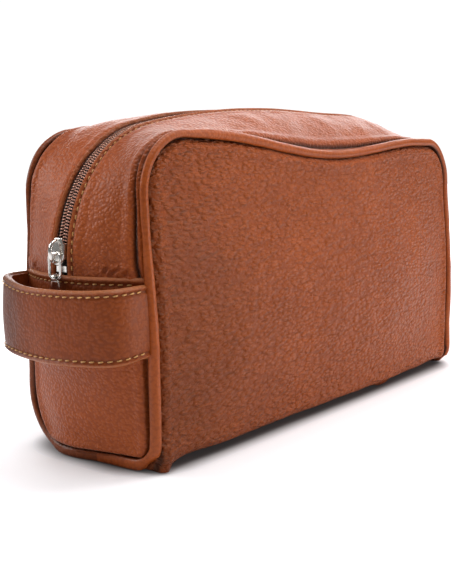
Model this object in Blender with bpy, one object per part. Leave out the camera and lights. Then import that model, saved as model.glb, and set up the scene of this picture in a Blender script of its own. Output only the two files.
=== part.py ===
"""Leather shaving kit bag: a boxy zip-top toiletry bag with piped seams and a side handle.

Left end at -X, front panel at -Y, resting on Z = 0. Units are metres.
"""
import math

import bmesh
import bpy
from mathutils import Vector

# ---------------------------------------------------------------- overall sizes
BAG_LENGTH = 0.262          # between the two end seams
BAG_DEPTH = 0.070           # between the front and back seams
SHOULDER_HEIGHT = 0.1355    # height of the top seams beside the shoulders
SEAM_DIP = 0.0078           # how far the top seams sag half way along
DIP_HALF_LENGTH = 0.095
SHOULDER_RADIUS = 0.024     # corner radius of the front and back panels
FRONT_FOOT_RADIUS = 0.010   # roll of the front panel under the bag
BACK_FOOT_RADIUS = 0.025    # roll of the back panel under the bag
PANEL_BULGE = 0.005         # how far the front and back panels swell
END_BULGE_TOP = 0.0124      # swelling of the ends at the height of the zip turn
END_BULGE_FOOT = 0.0020
# ---------------------------------------------------------------- line of the zip
ZIP_TURN_RADIUS = 0.0573    # the zip's turn from the end onto the top
ZIP_TURN_HEIGHT = 0.0841    # height of that turn's centre
ZIP_TURN_ANGLE = math.radians(78.0)
TAPE_FOOT_HEIGHT = 0.0640   # where the zip and its leather strips end
CROWN_POWER = 2.0           # cross section of the top: 2 is a parabola
# ---------------------------------------------------------------- leather and cloth
LEATHER = 0.0014
STRAP_LEATHER = 0.0013
LINING = 0.0005
TAPE = 0.0006
BOARD = 0.0015
LAYER_GAP = 0.0003          # air between touching layers
FOOT_RISE = 0.0020          # height of the wrapped panels over the floor
FOOT_LAP = 0.0110           # how far the front panel runs over the base
BACK_FOOT_LAP = 0.0040
BASE_MARGIN = 0.0030
SEAM_INSET = 0.0034         # panel edge to seam line
LINING_INSET = 0.0064       # lining edge to seam line
# ---------------------------------------------------------------- piping
PIPING_RADIUS = 0.0023
PIPING_BORE = 0.00160
PIPING_CORD_RADIUS = 0.00115
PIPING_SINK = 0.0008        # cord centre below the corner of the seam
FLANGE_LENGTH = 0.0062
FLANGE_HALF = 0.00095
FLANGE_SLIT = 0.00015
# ---------------------------------------------------------------- zip
ZIP_MOUTH_HALF = 0.0054     # leather edge to zip centre
TAPE_INNER = 0.0021
TAPE_OUTER = 0.0165
COIL_OUTER = 0.0030
COIL_INNER = 0.00015
COIL_PROUD = 0.0006
STOP_LENGTH = 0.0024
STOP_HEIGHT = 0.0806
THREAD_RADIUS = 0.00035
ZIP_THREAD_IN = 0.0032      # stitch row to leather edge
# ---------------------------------------------------------------- slider and puller
SLIDER_LENGTH = 0.0110
SLIDER_WIDTH = 0.0100
SLIDER_PLATE = 0.0011
SLIDER_LIP = 0.0013
SLIDER_POST = 0.0026
SLIDER_REST = math.radians(4.7)
BRIDGE_WIDTH = 0.0024
BRIDGE_HEIGHT = 0.0036
BRIDGE_LENGTH = 0.0084
BRIDGE_WIRE = 0.0011
RING_LENGTH = 0.0098
RING_WIDTH = 0.0066
RING_WIRE = 0.00065
RING_CORNER = 0.0016
TAB_LENGTH = 0.0150
TAB_WIDTH = 0.0056
TAB_THICK = 0.0010
KNUCKLE_RADIUS = 0.00165
KNUCKLE_LENGTH = 0.0026
# ---------------------------------------------------------------- handle
STRAP_LOW = 0.0462
STRAP_WIDTH = 0.0314
STRAP_REACH = 0.0263        # how far the loop stands out from the end seams
STRAP_SQUARE = 0.48         # lower is squarer
PATCH_LOW = 0.0450
PATCH_WIDTH = 0.0345
STRAP_THREAD_IN = 0.0026
# ---------------------------------------------------------------- pocket
POCKET_LENGTH = 0.120
POCKET_LOW = 0.036
POCKET_TOP = 0.092
POCKET_SWELL = 0.0030

HALF_L = BAG_LENGTH / 2
HALF_D = BAG_DEPTH / 2
TURN_X = HALF_L + END_BULGE_TOP - ZIP_TURN_RADIUS
TOP_X = TURN_X + ZIP_TURN_RADIUS * math.cos(ZIP_TURN_ANGLE)
TOP_Z = ZIP_TURN_HEIGHT + ZIP_TURN_RADIUS * math.sin(ZIP_TURN_ANGLE)
TOP_RADIUS = TOP_X / math.cos(ZIP_TURN_ANGLE)
TOP_CENTRE_Z = TOP_Z - TOP_RADIUS * math.sin(ZIP_TURN_ANGLE)
X, Y, Z = Vector((1, 0, 0)), Vector((0, 1, 0)), Vector((0, 0, 1))


def clear_scene():
    for obj in list(bpy.data.objects):
        bpy.data.objects.remove(obj, do_unlink=True)


def material(name, colour, roughness, metallic=0.0):
    mat = bpy.data.materials.new(name)
    mat.use_nodes = True
    shader = mat.node_tree.nodes["Principled BSDF"]
    shader.inputs["Base Color"].default_value = (*colour, 1.0)
    shader.inputs["Roughness"].default_value = roughness
    shader.inputs["Metallic"].default_value = metallic
    mat.diffuse_color = (*colour, 1.0)
    return mat


def add_object(name, mesh, colour, roughness, metallic=0.0):
    obj = bpy.data.objects.new(name, mesh)
    mesh.materials.append(material(name + "_material", colour, roughness, metallic))
    bpy.context.collection.objects.link(obj)
    return obj


COGNAC = (0.36, 0.15, 0.065)
DARK_COGNAC = (0.27, 0.105, 0.045)
CLOTH = (0.055, 0.045, 0.038)
THREAD = (0.62, 0.33, 0.12)
NICKEL = (0.72, 0.70, 0.67)


# ---------------------------------------------------------------- shape of the bag
def seam_top(x):
    """Height of the top seam at x, sagging between the shoulders."""
    if abs(x) >= DIP_HALF_LENGTH:
        return SHOULDER_HEIGHT
    return SHOULDER_HEIGHT - SEAM_DIP * math.cos(math.pi * x / (2 * DIP_HALF_LENGTH)) ** 2


def zip_line(kind, t):
    """Centre of the zip in the XZ plane, on the left half: (x, z)."""
    if kind == "end":
        bulge = END_BULGE_FOOT + (END_BULGE_TOP - END_BULGE_FOOT) * math.sin(
            math.pi / 2 * t / ZIP_TURN_HEIGHT)
        return -(HALF_L + bulge), t
    if kind == "turn":
        return (-TURN_X - ZIP_TURN_RADIUS * math.cos(t),
                ZIP_TURN_HEIGHT + ZIP_TURN_RADIUS * math.sin(t))
    return t, TOP_CENTRE_Z + math.sqrt(TOP_RADIUS ** 2 - t * t)


def seam_line(kind, t):
    """The front and back seams in the XZ plane beside the same station: (x, z)."""
    if kind == "end":
        return -HALF_L, t
    if kind == "top":
        return t, seam_top(t)
    rise = SHOULDER_HEIGHT - SHOULDER_RADIUS - ZIP_TURN_HEIGHT
    arc = SHOULDER_RADIUS * math.pi / 2
    run = HALF_L - SHOULDER_RADIUS - TOP_X
    s = t / ZIP_TURN_ANGLE * (rise + arc + run)
    if s <= rise:
        return -HALF_L, ZIP_TURN_HEIGHT + s
    if s <= rise + arc:
        a = (s - rise) / SHOULDER_RADIUS
        return (-HALF_L + SHOULDER_RADIUS * (1 - math.cos(a)),
                SHOULDER_HEIGHT - SHOULDER_RADIUS * (1 - math.sin(a)))
    return -HALF_L + SHOULDER_RADIUS + (s - rise - arc), SHOULDER_HEIGHT


def foot_y(side, z, inset=0.0):
    """Where the end meets the front (-1) or back (1) panel at height z, drawn in by inset."""
    radius = FRONT_FOOT_RADIUS if side < 0 else BACK_FOOT_RADIUS
    if z >= FOOT_RISE + radius:
        return side * (HALF_D - inset)
    reach = math.sqrt(max((radius - inset) ** 2 - (FOOT_RISE + radius - z) ** 2, 0.0))
    return side * (HALF_D - radius + reach)


def at(station, y):
    """A point of the outer surface of the ends and top: station (kind, t, mirrored) and y."""
    kind, t, mirrored = station
    sx, sz = seam_line(kind, t)
    zx, zz = zip_line(kind, t)
    low, high = -HALF_D, HALF_D
    if kind == "end":
        low, high = foot_y(-1, t), foot_y(1, t)
    v = max(-1.0, min(1.0, (2 * y - low - high) / (high - low)))
    f = 1 - abs(v) ** CROWN_POWER
    x = sx + (zx - sx) * f
    return Vector((-x if mirrored else x, y, sz + (zz - sz) * f))


def step_station(station, d):
    """The neighbouring station, d metres further along from the left foot."""
    kind, t, mirrored = station
    sign = -1 if mirrored and kind != "top" else 1
    if kind == "turn":
        return kind, t + sign * d / ZIP_TURN_RADIUS, mirrored
    return kind, t + sign * d, mirrored


def normal_at(station, y):
    d = 0.0004
    along = at(step_station(station, d), y) - at(step_station(station, -d), y)
    y0 = max(min(y, HALF_D - d), -HALF_D + d)
    across = at(station, y0 + d) - at(station, y0 - d)
    return along.cross(across).normalized()


def inset_y(side, station, inset):
    """The y at which the surface is inset from the seam on that side, measured along it."""
    edge = at(station, side * HALF_D)
    y = side * HALF_D
    while (at(station, y) - edge).length < inset:
        y -= side * 0.00005
    return y


def stations(foot, steps_end=3, steps_turn=8, steps_top=12):
    """Stations from the left end at height foot, over the top, to the right end."""
    left = [("end", foot + (ZIP_TURN_HEIGHT - foot) * i / steps_end, False)
            for i in range(steps_end)]
    left += [("turn", ZIP_TURN_ANGLE * i / steps_turn, False) for i in range(steps_turn)]
    top = [("top", -TOP_X + 2 * TOP_X * i / steps_top, False) for i in range(steps_top + 1)]
    right = [(kind, t, True) for kind, t, _ in reversed(left)]
    return left + top + right


def panel_point(side, x, reach, depth=0.0):
    """A point of the front (-1) or back (1) panel. reach is the height above the foot roll,
    negative round the roll and along under the bag; depth is measured inwards."""
    radius = FRONT_FOOT_RADIUS if side < 0 else BACK_FOOT_RADIUS
    quarter = radius * math.pi / 2
    if reach >= 0:
        y, z, out = HALF_D, FOOT_RISE + radius + reach, (1.0, 0.0)
    elif reach > -quarter:
        a = -reach / radius
        y = HALF_D - radius * (1 - math.cos(a))
        z = FOOT_RISE + radius * (1 - math.sin(a))
        out = (math.cos(a), -math.sin(a))
    else:
        y, z, out = HALF_D - radius + (quarter + reach), FOOT_RISE, (0.0, -1.0)
    share = max(0.0, min(1.0, (z - FOOT_RISE) / (SHOULDER_HEIGHT - FOOT_RISE)))
    swell = PANEL_BULGE * (1 - (abs(x) / HALF_L) ** 4) * math.sin(math.pi * share) ** 0.9
    if reach < 0:
        swell *= max(0.0, 1 + reach / quarter)
    y += out[0] * (swell - depth)
    z += out[1] * (swell - depth)
    return Vector((x, side * y, z))


# ---------------------------------------------------------------- builders
def sheet(name, rows, thickness, colour, roughness, inward):
    """A sheet of even thickness from the grid of points of its outer face."""
    bm = bmesh.new()
    grid = [[bm.verts.new(p) for p in row] for row in rows]
    for a, b in zip(grid, grid[1:]):
        for i in range(len(a) - 1):
            bm.faces.new((a[i], a[i + 1], b[i + 1], b[i]))
    bm.normal_update()
    faces = list(bm.faces)
    middle = faces[len(faces) // 2]
    if middle.normal.dot(inward) > 0:
        bmesh.ops.reverse_faces(bm, faces=faces)
    mesh = bpy.data.meshes.new(name)
    bm.to_mesh(mesh)
    bm.free()
    obj = add_object(name, mesh, colour, roughness)
    solid = obj.modifiers.new("Thickness", "SOLIDIFY")
    solid.thickness = thickness
    solid.offset = -1.0
    solid.use_even_offset = True
    solid.use_quality_normals = True
    return obj


def sweep(name, rings, colour, roughness, metallic=0.0, closed=False):
    """A closed body through rings of points, capped at both ends unless it is a loop."""
    bm = bmesh.new()
    made = [[bm.verts.new(p) for p in ring] for ring in rings]
    count = len(made[0])
    pairs = list(zip(made, made[1:]))
    if closed:
        pairs.append((made[-1], made[0]))
    for a, b in pairs:
        for i in range(count):
            j = (i + 1) % count
            bm.faces.new((a[i], a[j], b[j], b[i]))
    if not closed:
        caps = [bm.faces.new(made[0]), bm.faces.new(made[-1])]
        bmesh.ops.triangulate(bm, faces=caps)
    bmesh.ops.recalc_face_normals(bm, faces=list(bm.faces))
    mesh = bpy.data.meshes.new(name)
    bm.to_mesh(mesh)
    bm.free()
    return add_object(name, mesh, colour, roughness, metallic)


def box_between(bm, low, high):
    made = bmesh.ops.create_cube(bm, size=1.0)["verts"]
    for v in made:
        v.co = Vector([low[i] + (high[i] - low[i]) * (v.co[i] + 0.5) for i in range(3)])
    return made


def place(obj, origin, out, up):
    """Puts an object whose local Z is outward and local X is along the zip."""
    side = out.cross(up).normalized()
    rot = obj.matrix_world.to_3x3()
    rot.col[0] = up
    rot.col[1] = side
    rot.col[2] = out
    obj.location = origin
    obj.rotation_euler = rot.to_euler()


# ---------------------------------------------------------------- panels
def columns(inset):
    """Column positions of a panel with rounded shoulders: (x, height of the top edge)."""
    radius = SHOULDER_RADIUS - inset
    half = [0.0, 0.020, 0.040, 0.060, 0.080, DIP_HALF_LENGTH, HALF_L - SHOULDER_RADIUS]
    right = [(x, seam_top(x) - inset) for x in half]
    for i in range(1, 6):
        a = math.pi / 2 * i / 5
        right.append((HALF_L - SHOULDER_RADIUS + radius * math.sin(a),
                      SHOULDER_HEIGHT - SHOULDER_RADIUS + radius * math.cos(a)))
    return [(-x, z) for x, z in reversed(right[1:])] + right


def panel(name, side, inset, depth, thickness, lap, colour, roughness, rows_up=8):
    radius = FRONT_FOOT_RADIUS if side < 0 else BACK_FOOT_RADIUS
    quarter = radius * math.pi / 2
    rows = []
    for i in range(rows_up + 1):
        share = 1 - i / rows_up
        rows.append([panel_point(side, x, share * (top - FOOT_RISE - radius), depth)
                     for x, top in columns(inset)])
    for a in (0.25, 0.5, 0.75, 1.0):
        rows.append([panel_point(side, x, -quarter * a, depth) for x, _ in columns(inset)])
    if lap > 0:
        rows.append([panel_point(side, x, -quarter - lap, depth) for x, _ in columns(inset)])
    return sheet(name, rows, thickness, colour, roughness, Vector((0, -side, 0)))


def end_panel(name, mirrored, inset, depth, thickness, top, colour, roughness, count=11):
    heights = [FOOT_RISE + inset + h for h in (0.0, 0.0010, 0.0026, 0.0048, 0.0078,
                                               0.0120, 0.0180, 0.0260, 0.0360, 0.0460)]
    heights = [h for h in heights if h < top - 0.004] + [top]
    rows = []
    for z in heights:
        station = ("end", z, mirrored)
        low, high = foot_y(-1, z, inset), foot_y(1, z, inset)
        row = []
        for i in range(count):
            y = low + (high - low) * i / (count - 1)
            row.append(at(station, y) - normal_at(station, y) * depth)
        rows.append(row)
    inward = Vector((-1 if mirrored else 1, 0, 0))
    return sheet(name, rows, thickness, colour, roughness, inward)


def strip(name, side, near, inset, depth, thickness, foot, colour, roughness, count=5, far=None):
    """A strip of the top and ends, from near the zip out to the seam or to far."""
    rows = []
    for station in stations(foot):
        outer = side * far if far else inset_y(side, station, inset)
        row = []
        for i in range(count):
            y = side * near + (outer - side * near) * i / (count - 1)
            row.append(at(station, y) - normal_at(station, y) * depth)
        rows.append(row)
    return sheet(name, rows, thickness, colour, roughness, Vector((0, 0, -1)))


def end_band(name, mirrored, low, width, lift, thickness, inset, colour, roughness):
    """A band of leather flat on the end, from seam to seam."""
    rows = []
    for k in range(5):
        station = ("end", low + width * k / 4, mirrored)
        a = inset_y(-1, station, inset)
        b = inset_y(1, station, inset)
        row = []
        for i in range(15):
            y = a + (b - a) * i / 14
            row.append(at(station, y) + normal_at(station, y) * (lift + thickness))
        rows.append(row)
    inward = Vector((-1 if mirrored else 1, 0, 0))
    return sheet(name, rows, thickness, colour, roughness, inward)


# ---------------------------------------------------------------- piping
def piping_route(side):
    """The seam on one side, from under the left end to under the right end:
    (point, direction of the panel, direction of the end or top)."""
    radius = FRONT_FOOT_RADIUS if side < 0 else BACK_FOOT_RADIUS
    split = (BACK_FOOT_RADIUS - FRONT_FOOT_RADIUS) / -2
    flat = HALF_D - radius
    left = []
    for i in range(3):
        y = split + (side * flat - split) * i / 2 + (side * 0.0002 if i == 0 else 0.0)
        left.append((Vector((-HALF_L, y, FOOT_RISE)), X, Z.copy()))
    for i in range(1, 5):
        a = math.pi / 2 * i / 5
        y = flat + radius * math.sin(a)
        z = FOOT_RISE + radius * (1 - math.cos(a))
        inward = Vector((0, -side * math.sin(a), math.cos(a)))
        left.append((Vector((-HALF_L, side * y, z)), X, inward))
    z = FOOT_RISE + radius
    spots = [("end", z, False)]
    while z < ZIP_TURN_HEIGHT - 0.016:
        z += 0.016
        spots.append(("end", z, False))
    spots += [("turn", ZIP_TURN_ANGLE * i / 12, False) for i in range(12)]
    half = []
    for station in spots:
        point = at(station, side * HALF_D)
        ahead = at(step_station(station, 0.0003), side * HALF_D) - at(
            step_station(station, -0.0003), side * HALF_D)
        ahead.normalize()
        panel_way = Y.cross(ahead).normalized()
        top_way = at(station, side * (HALF_D - 0.0006)) - point
        top_way -= ahead * top_way.dot(ahead)
        half.append((point, panel_way, top_way.normalized()))
    left += half
    middle = []
    for i in range(13):
        station = ("top", -TOP_X + 2 * TOP_X * i / 12, False)
        point = at(station, side * HALF_D)
        ahead = (at(step_station(station, 0.0003), side * HALF_D) - at(
            step_station(station, -0.0003), side * HALF_D)).normalized()
        top_way = at(station, side * (HALF_D - 0.0006)) - point
        top_way -= ahead * top_way.dot(ahead)
        middle.append((point, Y.cross(ahead).normalized(), top_way.normalized()))
    right = []
    for point, a, b in reversed(left):
        right.append(tuple(Vector((-p.x, p.y, p.z)) for p in (point, a, b)))
    return left + middle + right


def piping_frames(side):
    route = piping_route(side)
    frames = []
    for i, (point, a, b) in enumerate(route):
        ahead = (route[min(i + 1, len(route) - 1)][0] - route[max(i - 1, 0)][0]).normalized()
        out = -(a + b)
        out = (out - ahead * out.dot(ahead)).normalized()
        frames.append((point - out * PIPING_SINK, out, ahead.cross(out).normalized()))
    return frames


def piping_section():
    """Keyhole section of the folded cover: (out, across)."""
    lap = math.asin(FLANGE_HALF / PIPING_RADIUS)
    slit = math.asin(FLANGE_SLIT / PIPING_BORE)
    outer, inner = 7, 6
    points = []
    for i in range(outer + 1):
        a = -(math.pi - lap) + 2 * (math.pi - lap) * i / outer
        points.append((PIPING_RADIUS * math.cos(a), PIPING_RADIUS * math.sin(a)))
    points += [(-FLANGE_LENGTH, FLANGE_HALF), (-FLANGE_LENGTH, FLANGE_SLIT)]
    for i in range(inner + 1):
        a = (math.pi - slit) - 2 * (math.pi - slit) * i / inner
        points.append((PIPING_BORE * math.cos(a), PIPING_BORE * math.sin(a)))
    points += [(-FLANGE_LENGTH, -FLANGE_SLIT), (-FLANGE_LENGTH, -FLANGE_HALF)]
    return points


def piping(name, side):
    section = piping_section()
    rings = [[c + out * u + across * v for u, v in section]
             for c, out, across in piping_frames(side)]
    return sweep("piping_" + name, rings, DARK_COGNAC, 0.45)


def piping_cord(name, side):
    rings = []
    for c, out, across in piping_frames(side):
        rings.append([c + (out * math.cos(a) + across * math.sin(a)) * PIPING_CORD_RADIUS
                      for a in [math.tau * i / 5 for i in range(5)]])
    return sweep("piping_cord_" + name, rings, (0.7, 0.68, 0.62), 0.9)


# ---------------------------------------------------------------- zip
def zip_coil(name, side):
    """One half of the closed chain in outline, from the slider's wedge to the far stop."""
    start = SLIDER_REST - 0.0017 / ZIP_TURN_RADIUS
    path = [("turn", start + (ZIP_TURN_ANGLE - start) * i / 9, False) for i in range(9)]
    path += stations(STOP_HEIGHT + STOP_LENGTH + LAYER_GAP, 1, 9, 16)[10:]
    low = -(LEATHER)
    rings = []
    for station in path:
        p, n = at(station, 0.0), normal_at(station, 0.0)
        ring = []
        for y, h in ((COIL_INNER, low), (COIL_OUTER, low), (COIL_OUTER + 0.0001, -0.0003),
                     (COIL_OUTER - 0.0006, COIL_PROUD), (COIL_INNER, COIL_PROUD)):
            ring.append(p + Y * (side * y) + n * h)
        rings.append(ring)
    return sweep("zip_coil_" + name, rings, (0.16, 0.085, 0.05), 0.35, 0.3)


def zip_stop(name, mirrored, y_low, y_high):
    rings = []
    for k in range(2):
        station = ("end", STOP_HEIGHT + STOP_LENGTH * k, mirrored)
        p, n = at(station, 0.0), normal_at(station, 0.0)
        rings.append([p + Y * y_low - n * LEATHER, p + Y * y_high - n * LEATHER,
                      p + Y * y_high + n * 0.0002, p + Y * y_low + n * 0.0002])
    return sweep(name, rings, NICKEL, 0.25, 1.0)


def thread_line(name, points):
    """A row of stitching drawn as one unbroken thread."""
    rings = []
    for i, (p, n) in enumerate(points):
        ahead = (points[min(i + 1, len(points) - 1)][0] - points[max(i - 1, 0)][0]).normalized()
        across = ahead.cross(n).normalized()
        c = p + n * (LAYER_GAP + THREAD_RADIUS)
        rings.append([c + (n * math.cos(a) + across * math.sin(a)) * THREAD_RADIUS
                      for a in (0.785, 2.356, 3.927, 5.498)])
    return sweep(name, rings, THREAD, 0.8)


def zip_thread(name, side):
    points = []
    for station in stations(STOP_HEIGHT, 1, 8, 12):
        y = side * (ZIP_MOUTH_HALF + ZIP_THREAD_IN)
        points.append((at(station, y), normal_at(station, y)))
    return thread_line("zip_thread_" + name, points)


# ---------------------------------------------------------------- slider and puller
def slider_frame():
    station = ("turn", SLIDER_REST, False)
    p = at(station, 0.0)
    out = normal_at(station, 0.0)
    up = out.cross(Y).normalized()
    if up.z < 0:
        up = -up
    return p, out, up


def slider_body():
    """Top plate with turned-down lips, a wedge post and a bottom plate. Local Z is outward."""
    bm = bmesh.new()
    under = COIL_PROUD + LAYER_GAP
    over = under + SLIDER_PLATE
    half_l, half_w = SLIDER_LENGTH / 2, SLIDER_WIDTH / 2
    outline = [(-1.0, 0.62), (-0.55, 1.0), (0.15, 1.0), (0.62, 0.80), (1.0, 0.66)]
    pts = [(x * half_l, y * half_w) for x, y in outline]
    ring = pts + [(x, -y) for x, y in reversed(pts)]
    plate_low = [Vector((x, y, under)) for x, y in ring]
    plate_high = [Vector((x * 0.93, y * 0.88, over)) for x, y in ring]
    lows = [bm.verts.new(v) for v in plate_low]
    highs = [bm.verts.new(v) for v in plate_high]
    bm.faces.new(lows)
    bm.faces.new(highs)
    for i in range(len(ring)):
        j = (i + 1) % len(ring)
        bm.faces.new((lows[i], lows[j], highs[j], highs[i]))
    bmesh.ops.recalc_face_normals(bm, faces=list(bm.faces))
    mesh = bpy.data.meshes.new("slider_body")
    bm.to_mesh(mesh)
    bm.free()
    top = add_object("slider_body", mesh, NICKEL, 0.18, 1.0)
    parts = []
    lip_low = -(LEATHER + LAYER_GAP) + 0.0004
    plate_under = -(LEATHER + LAYER_GAP + TAPE) - 0.0007
    extras = (
        ((-0.0030, half_w - SLIDER_LIP, lip_low), (0.0030, half_w - 0.0001, under + 0.0002)),
        ((-0.0030, -half_w + 0.0001, lip_low), (0.0030, -half_w + SLIDER_LIP, under + 0.0002)),
        ((-0.0048, -0.0013, plate_under - 0.0005), (-0.0048 + SLIDER_POST, 0.0013, under + 0.0004)),
        ((-half_l * 0.9, -half_w * 0.8, plate_under - SLIDER_PLATE),
         (half_l * 0.9, half_w * 0.8, plate_under)),
    )
    for k, (low, high) in enumerate(extras):
        bm = bmesh.new()
        box_between(bm, low, high)
        mesh = bpy.data.meshes.new("slider_extra")
        bm.to_mesh(mesh)
        bm.free()
        extra = bpy.data.objects.new("slider_extra_%d" % k, mesh)
        bpy.context.collection.objects.link(extra)
        extra.hide_render = True
        extra.display_type = "WIRE"
        join = top.modifiers.new("Join %d" % k, "BOOLEAN")
        join.operation = "UNION"
        join.solver = "EXACT"
        join.object = extra
        parts.append(extra)
    return top, parts


def slider_bridge():
    """The arched crown over the top plate that the ring hangs from."""
    base = COIL_PROUD + LAYER_GAP + SLIDER_PLATE + LAYER_GAP
    half = BRIDGE_LENGTH / 2
    outer, inner = [], []
    for i in range(9):
        a = math.pi * i / 8
        outer.append((-half * math.cos(a), base + BRIDGE_HEIGHT * math.sin(a) ** 0.7))
        inner.append((-(half - BRIDGE_WIRE) * math.cos(a),
                      base + (BRIDGE_HEIGHT - BRIDGE_WIRE) * math.sin(a) ** 0.7))
    rings = []
    for (ox, oz), (ix, iz) in zip(outer, inner):
        w = BRIDGE_WIDTH / 2
        rings.append([Vector((ox, -w, oz)), Vector((ox, w, oz)),
                      Vector((ix, w, iz)), Vector((ix, -w, iz))])
    return sweep("slider_bridge", rings, NICKEL, 0.18, 1.0)


def wire_loop(name, centre_points, wire, closed=True):
    """A closed loop of round wire through points in a plane, given as (point, outward)."""
    rings = []
    count = len(centre_points)
    for i, p in enumerate(centre_points):
        ahead = (centre_points[(i + 1) % count] - centre_points[i - 1]).normalized()
        out = ahead.cross(X).normalized()
        rings.append([p + (out * math.cos(a) + X * math.sin(a)) * wire
                      for a in [math.tau * k / 8 for k in range(8)]])
    return sweep(name, rings, NICKEL, 0.16, 1.0, closed=closed)


def pull_ring(axis):
    """A long wire ring in the plane of the end, hanging from the bridge."""
    half_w = RING_WIDTH / 2
    corner = RING_CORNER
    points = []
    for y, z, start in ((half_w - corner, -corner, 0), (-half_w + corner, -corner, 1),
                        (-half_w + corner, corner - RING_LENGTH, 2),
                        (half_w - corner, corner - RING_LENGTH, 3)):
        for k in range(5):
            a = math.pi / 2 * (start + k / 4)
            points.append(Vector((0, y + corner * math.cos(a), z + corner * math.sin(a))))
    ring = wire_loop("pull_ring", points, RING_WIRE)
    ring.location = axis
    return ring


def pull_tab(axis):
    """A flat metal puller curled round the ring's lower side, its origin on that side."""
    bottom = -TAB_LENGTH
    half = TAB_WIDTH / 2
    top = -KNUCKLE_RADIUS * 0.75
    outline = [(KNUCKLE_LENGTH / 2, top), (half, top - 0.0022)]
    for i in range(7):
        a = -math.pi * i / 6
        outline.append((half * 0.86 * math.cos(a), bottom + half + half * math.sin(a)))
    outline += [(-half, top - 0.0022), (-KNUCKLE_LENGTH / 2, top)]
    rings = [[Vector((x, y, z)) for y, z in outline] for x in (-TAB_THICK / 2, TAB_THICK / 2)]
    tab = sweep("pull_tab", rings, NICKEL, 0.16, 1.0)
    helpers = []
    for label, radius, depth, operation in (
            ("knuckle", KNUCKLE_RADIUS, KNUCKLE_LENGTH, "UNION"),
            ("eye", RING_WIRE + LAYER_GAP, 0.01, "DIFFERENCE")):
        bpy.ops.mesh.primitive_cylinder_add(vertices=16, radius=radius, depth=depth,
                                            location=axis, rotation=(math.pi / 2, 0, 0))
        helper = bpy.context.object
        helper.name = "pull_tab_" + label
        helper.hide_render = True
        helper.display_type = "WIRE"
        shape = tab.modifiers.new(label, "BOOLEAN")
        shape.operation = operation
        shape.solver = "EXACT"
        shape.object = helper
        helpers.append(helper)
    tab.location = axis
    return tab, helpers


# ---------------------------------------------------------------- handle
def strap_path(count=30):
    """Plan line of the loop, evenly spaced: (point, outward normal)."""
    dense = []
    for i in range(1201):
        t = math.pi * i / 1200
        x = -HALF_L - STRAP_REACH * math.sin(t) ** STRAP_SQUARE
        if x < -HALF_L - PIPING_RADIUS - 0.0010:
            dense.append(Vector((x, -HALF_D * math.cos(t), 0)))
    lengths = [0.0]
    for a, b in zip(dense, dense[1:]):
        lengths.append(lengths[-1] + (b - a).length)
    points = []
    k = 0
    for i in range(count + 1):
        goal = lengths[-1] * i / count
        while k < len(lengths) - 2 and lengths[k + 1] < goal:
            k += 1
        share = (goal - lengths[k]) / max(lengths[k + 1] - lengths[k], 1e-9)
        points.append(dense[k].lerp(dense[k + 1], share))
    made = []
    for i, p in enumerate(points):
        ahead = (points[min(i + 1, count)] - points[max(i - 1, 0)]).normalized()
        made.append((p, ahead.cross(Z).normalized() * -1))
    return made


def strap_sheet(name, inset, thickness, colour, roughness, narrow=0.0):
    rows = []
    for p, out in strap_path():
        rows.append([p - out * inset + Z * (STRAP_LOW + narrow + (STRAP_WIDTH - 2 * narrow) * k / 2)
                     for k in range(3)])
    return sheet(name, rows, thickness, colour, roughness, X)


def strap_thread(name, height):
    return thread_line(name, [(p + Z * height, out) for p, out in strap_path()[1:-1]])


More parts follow.
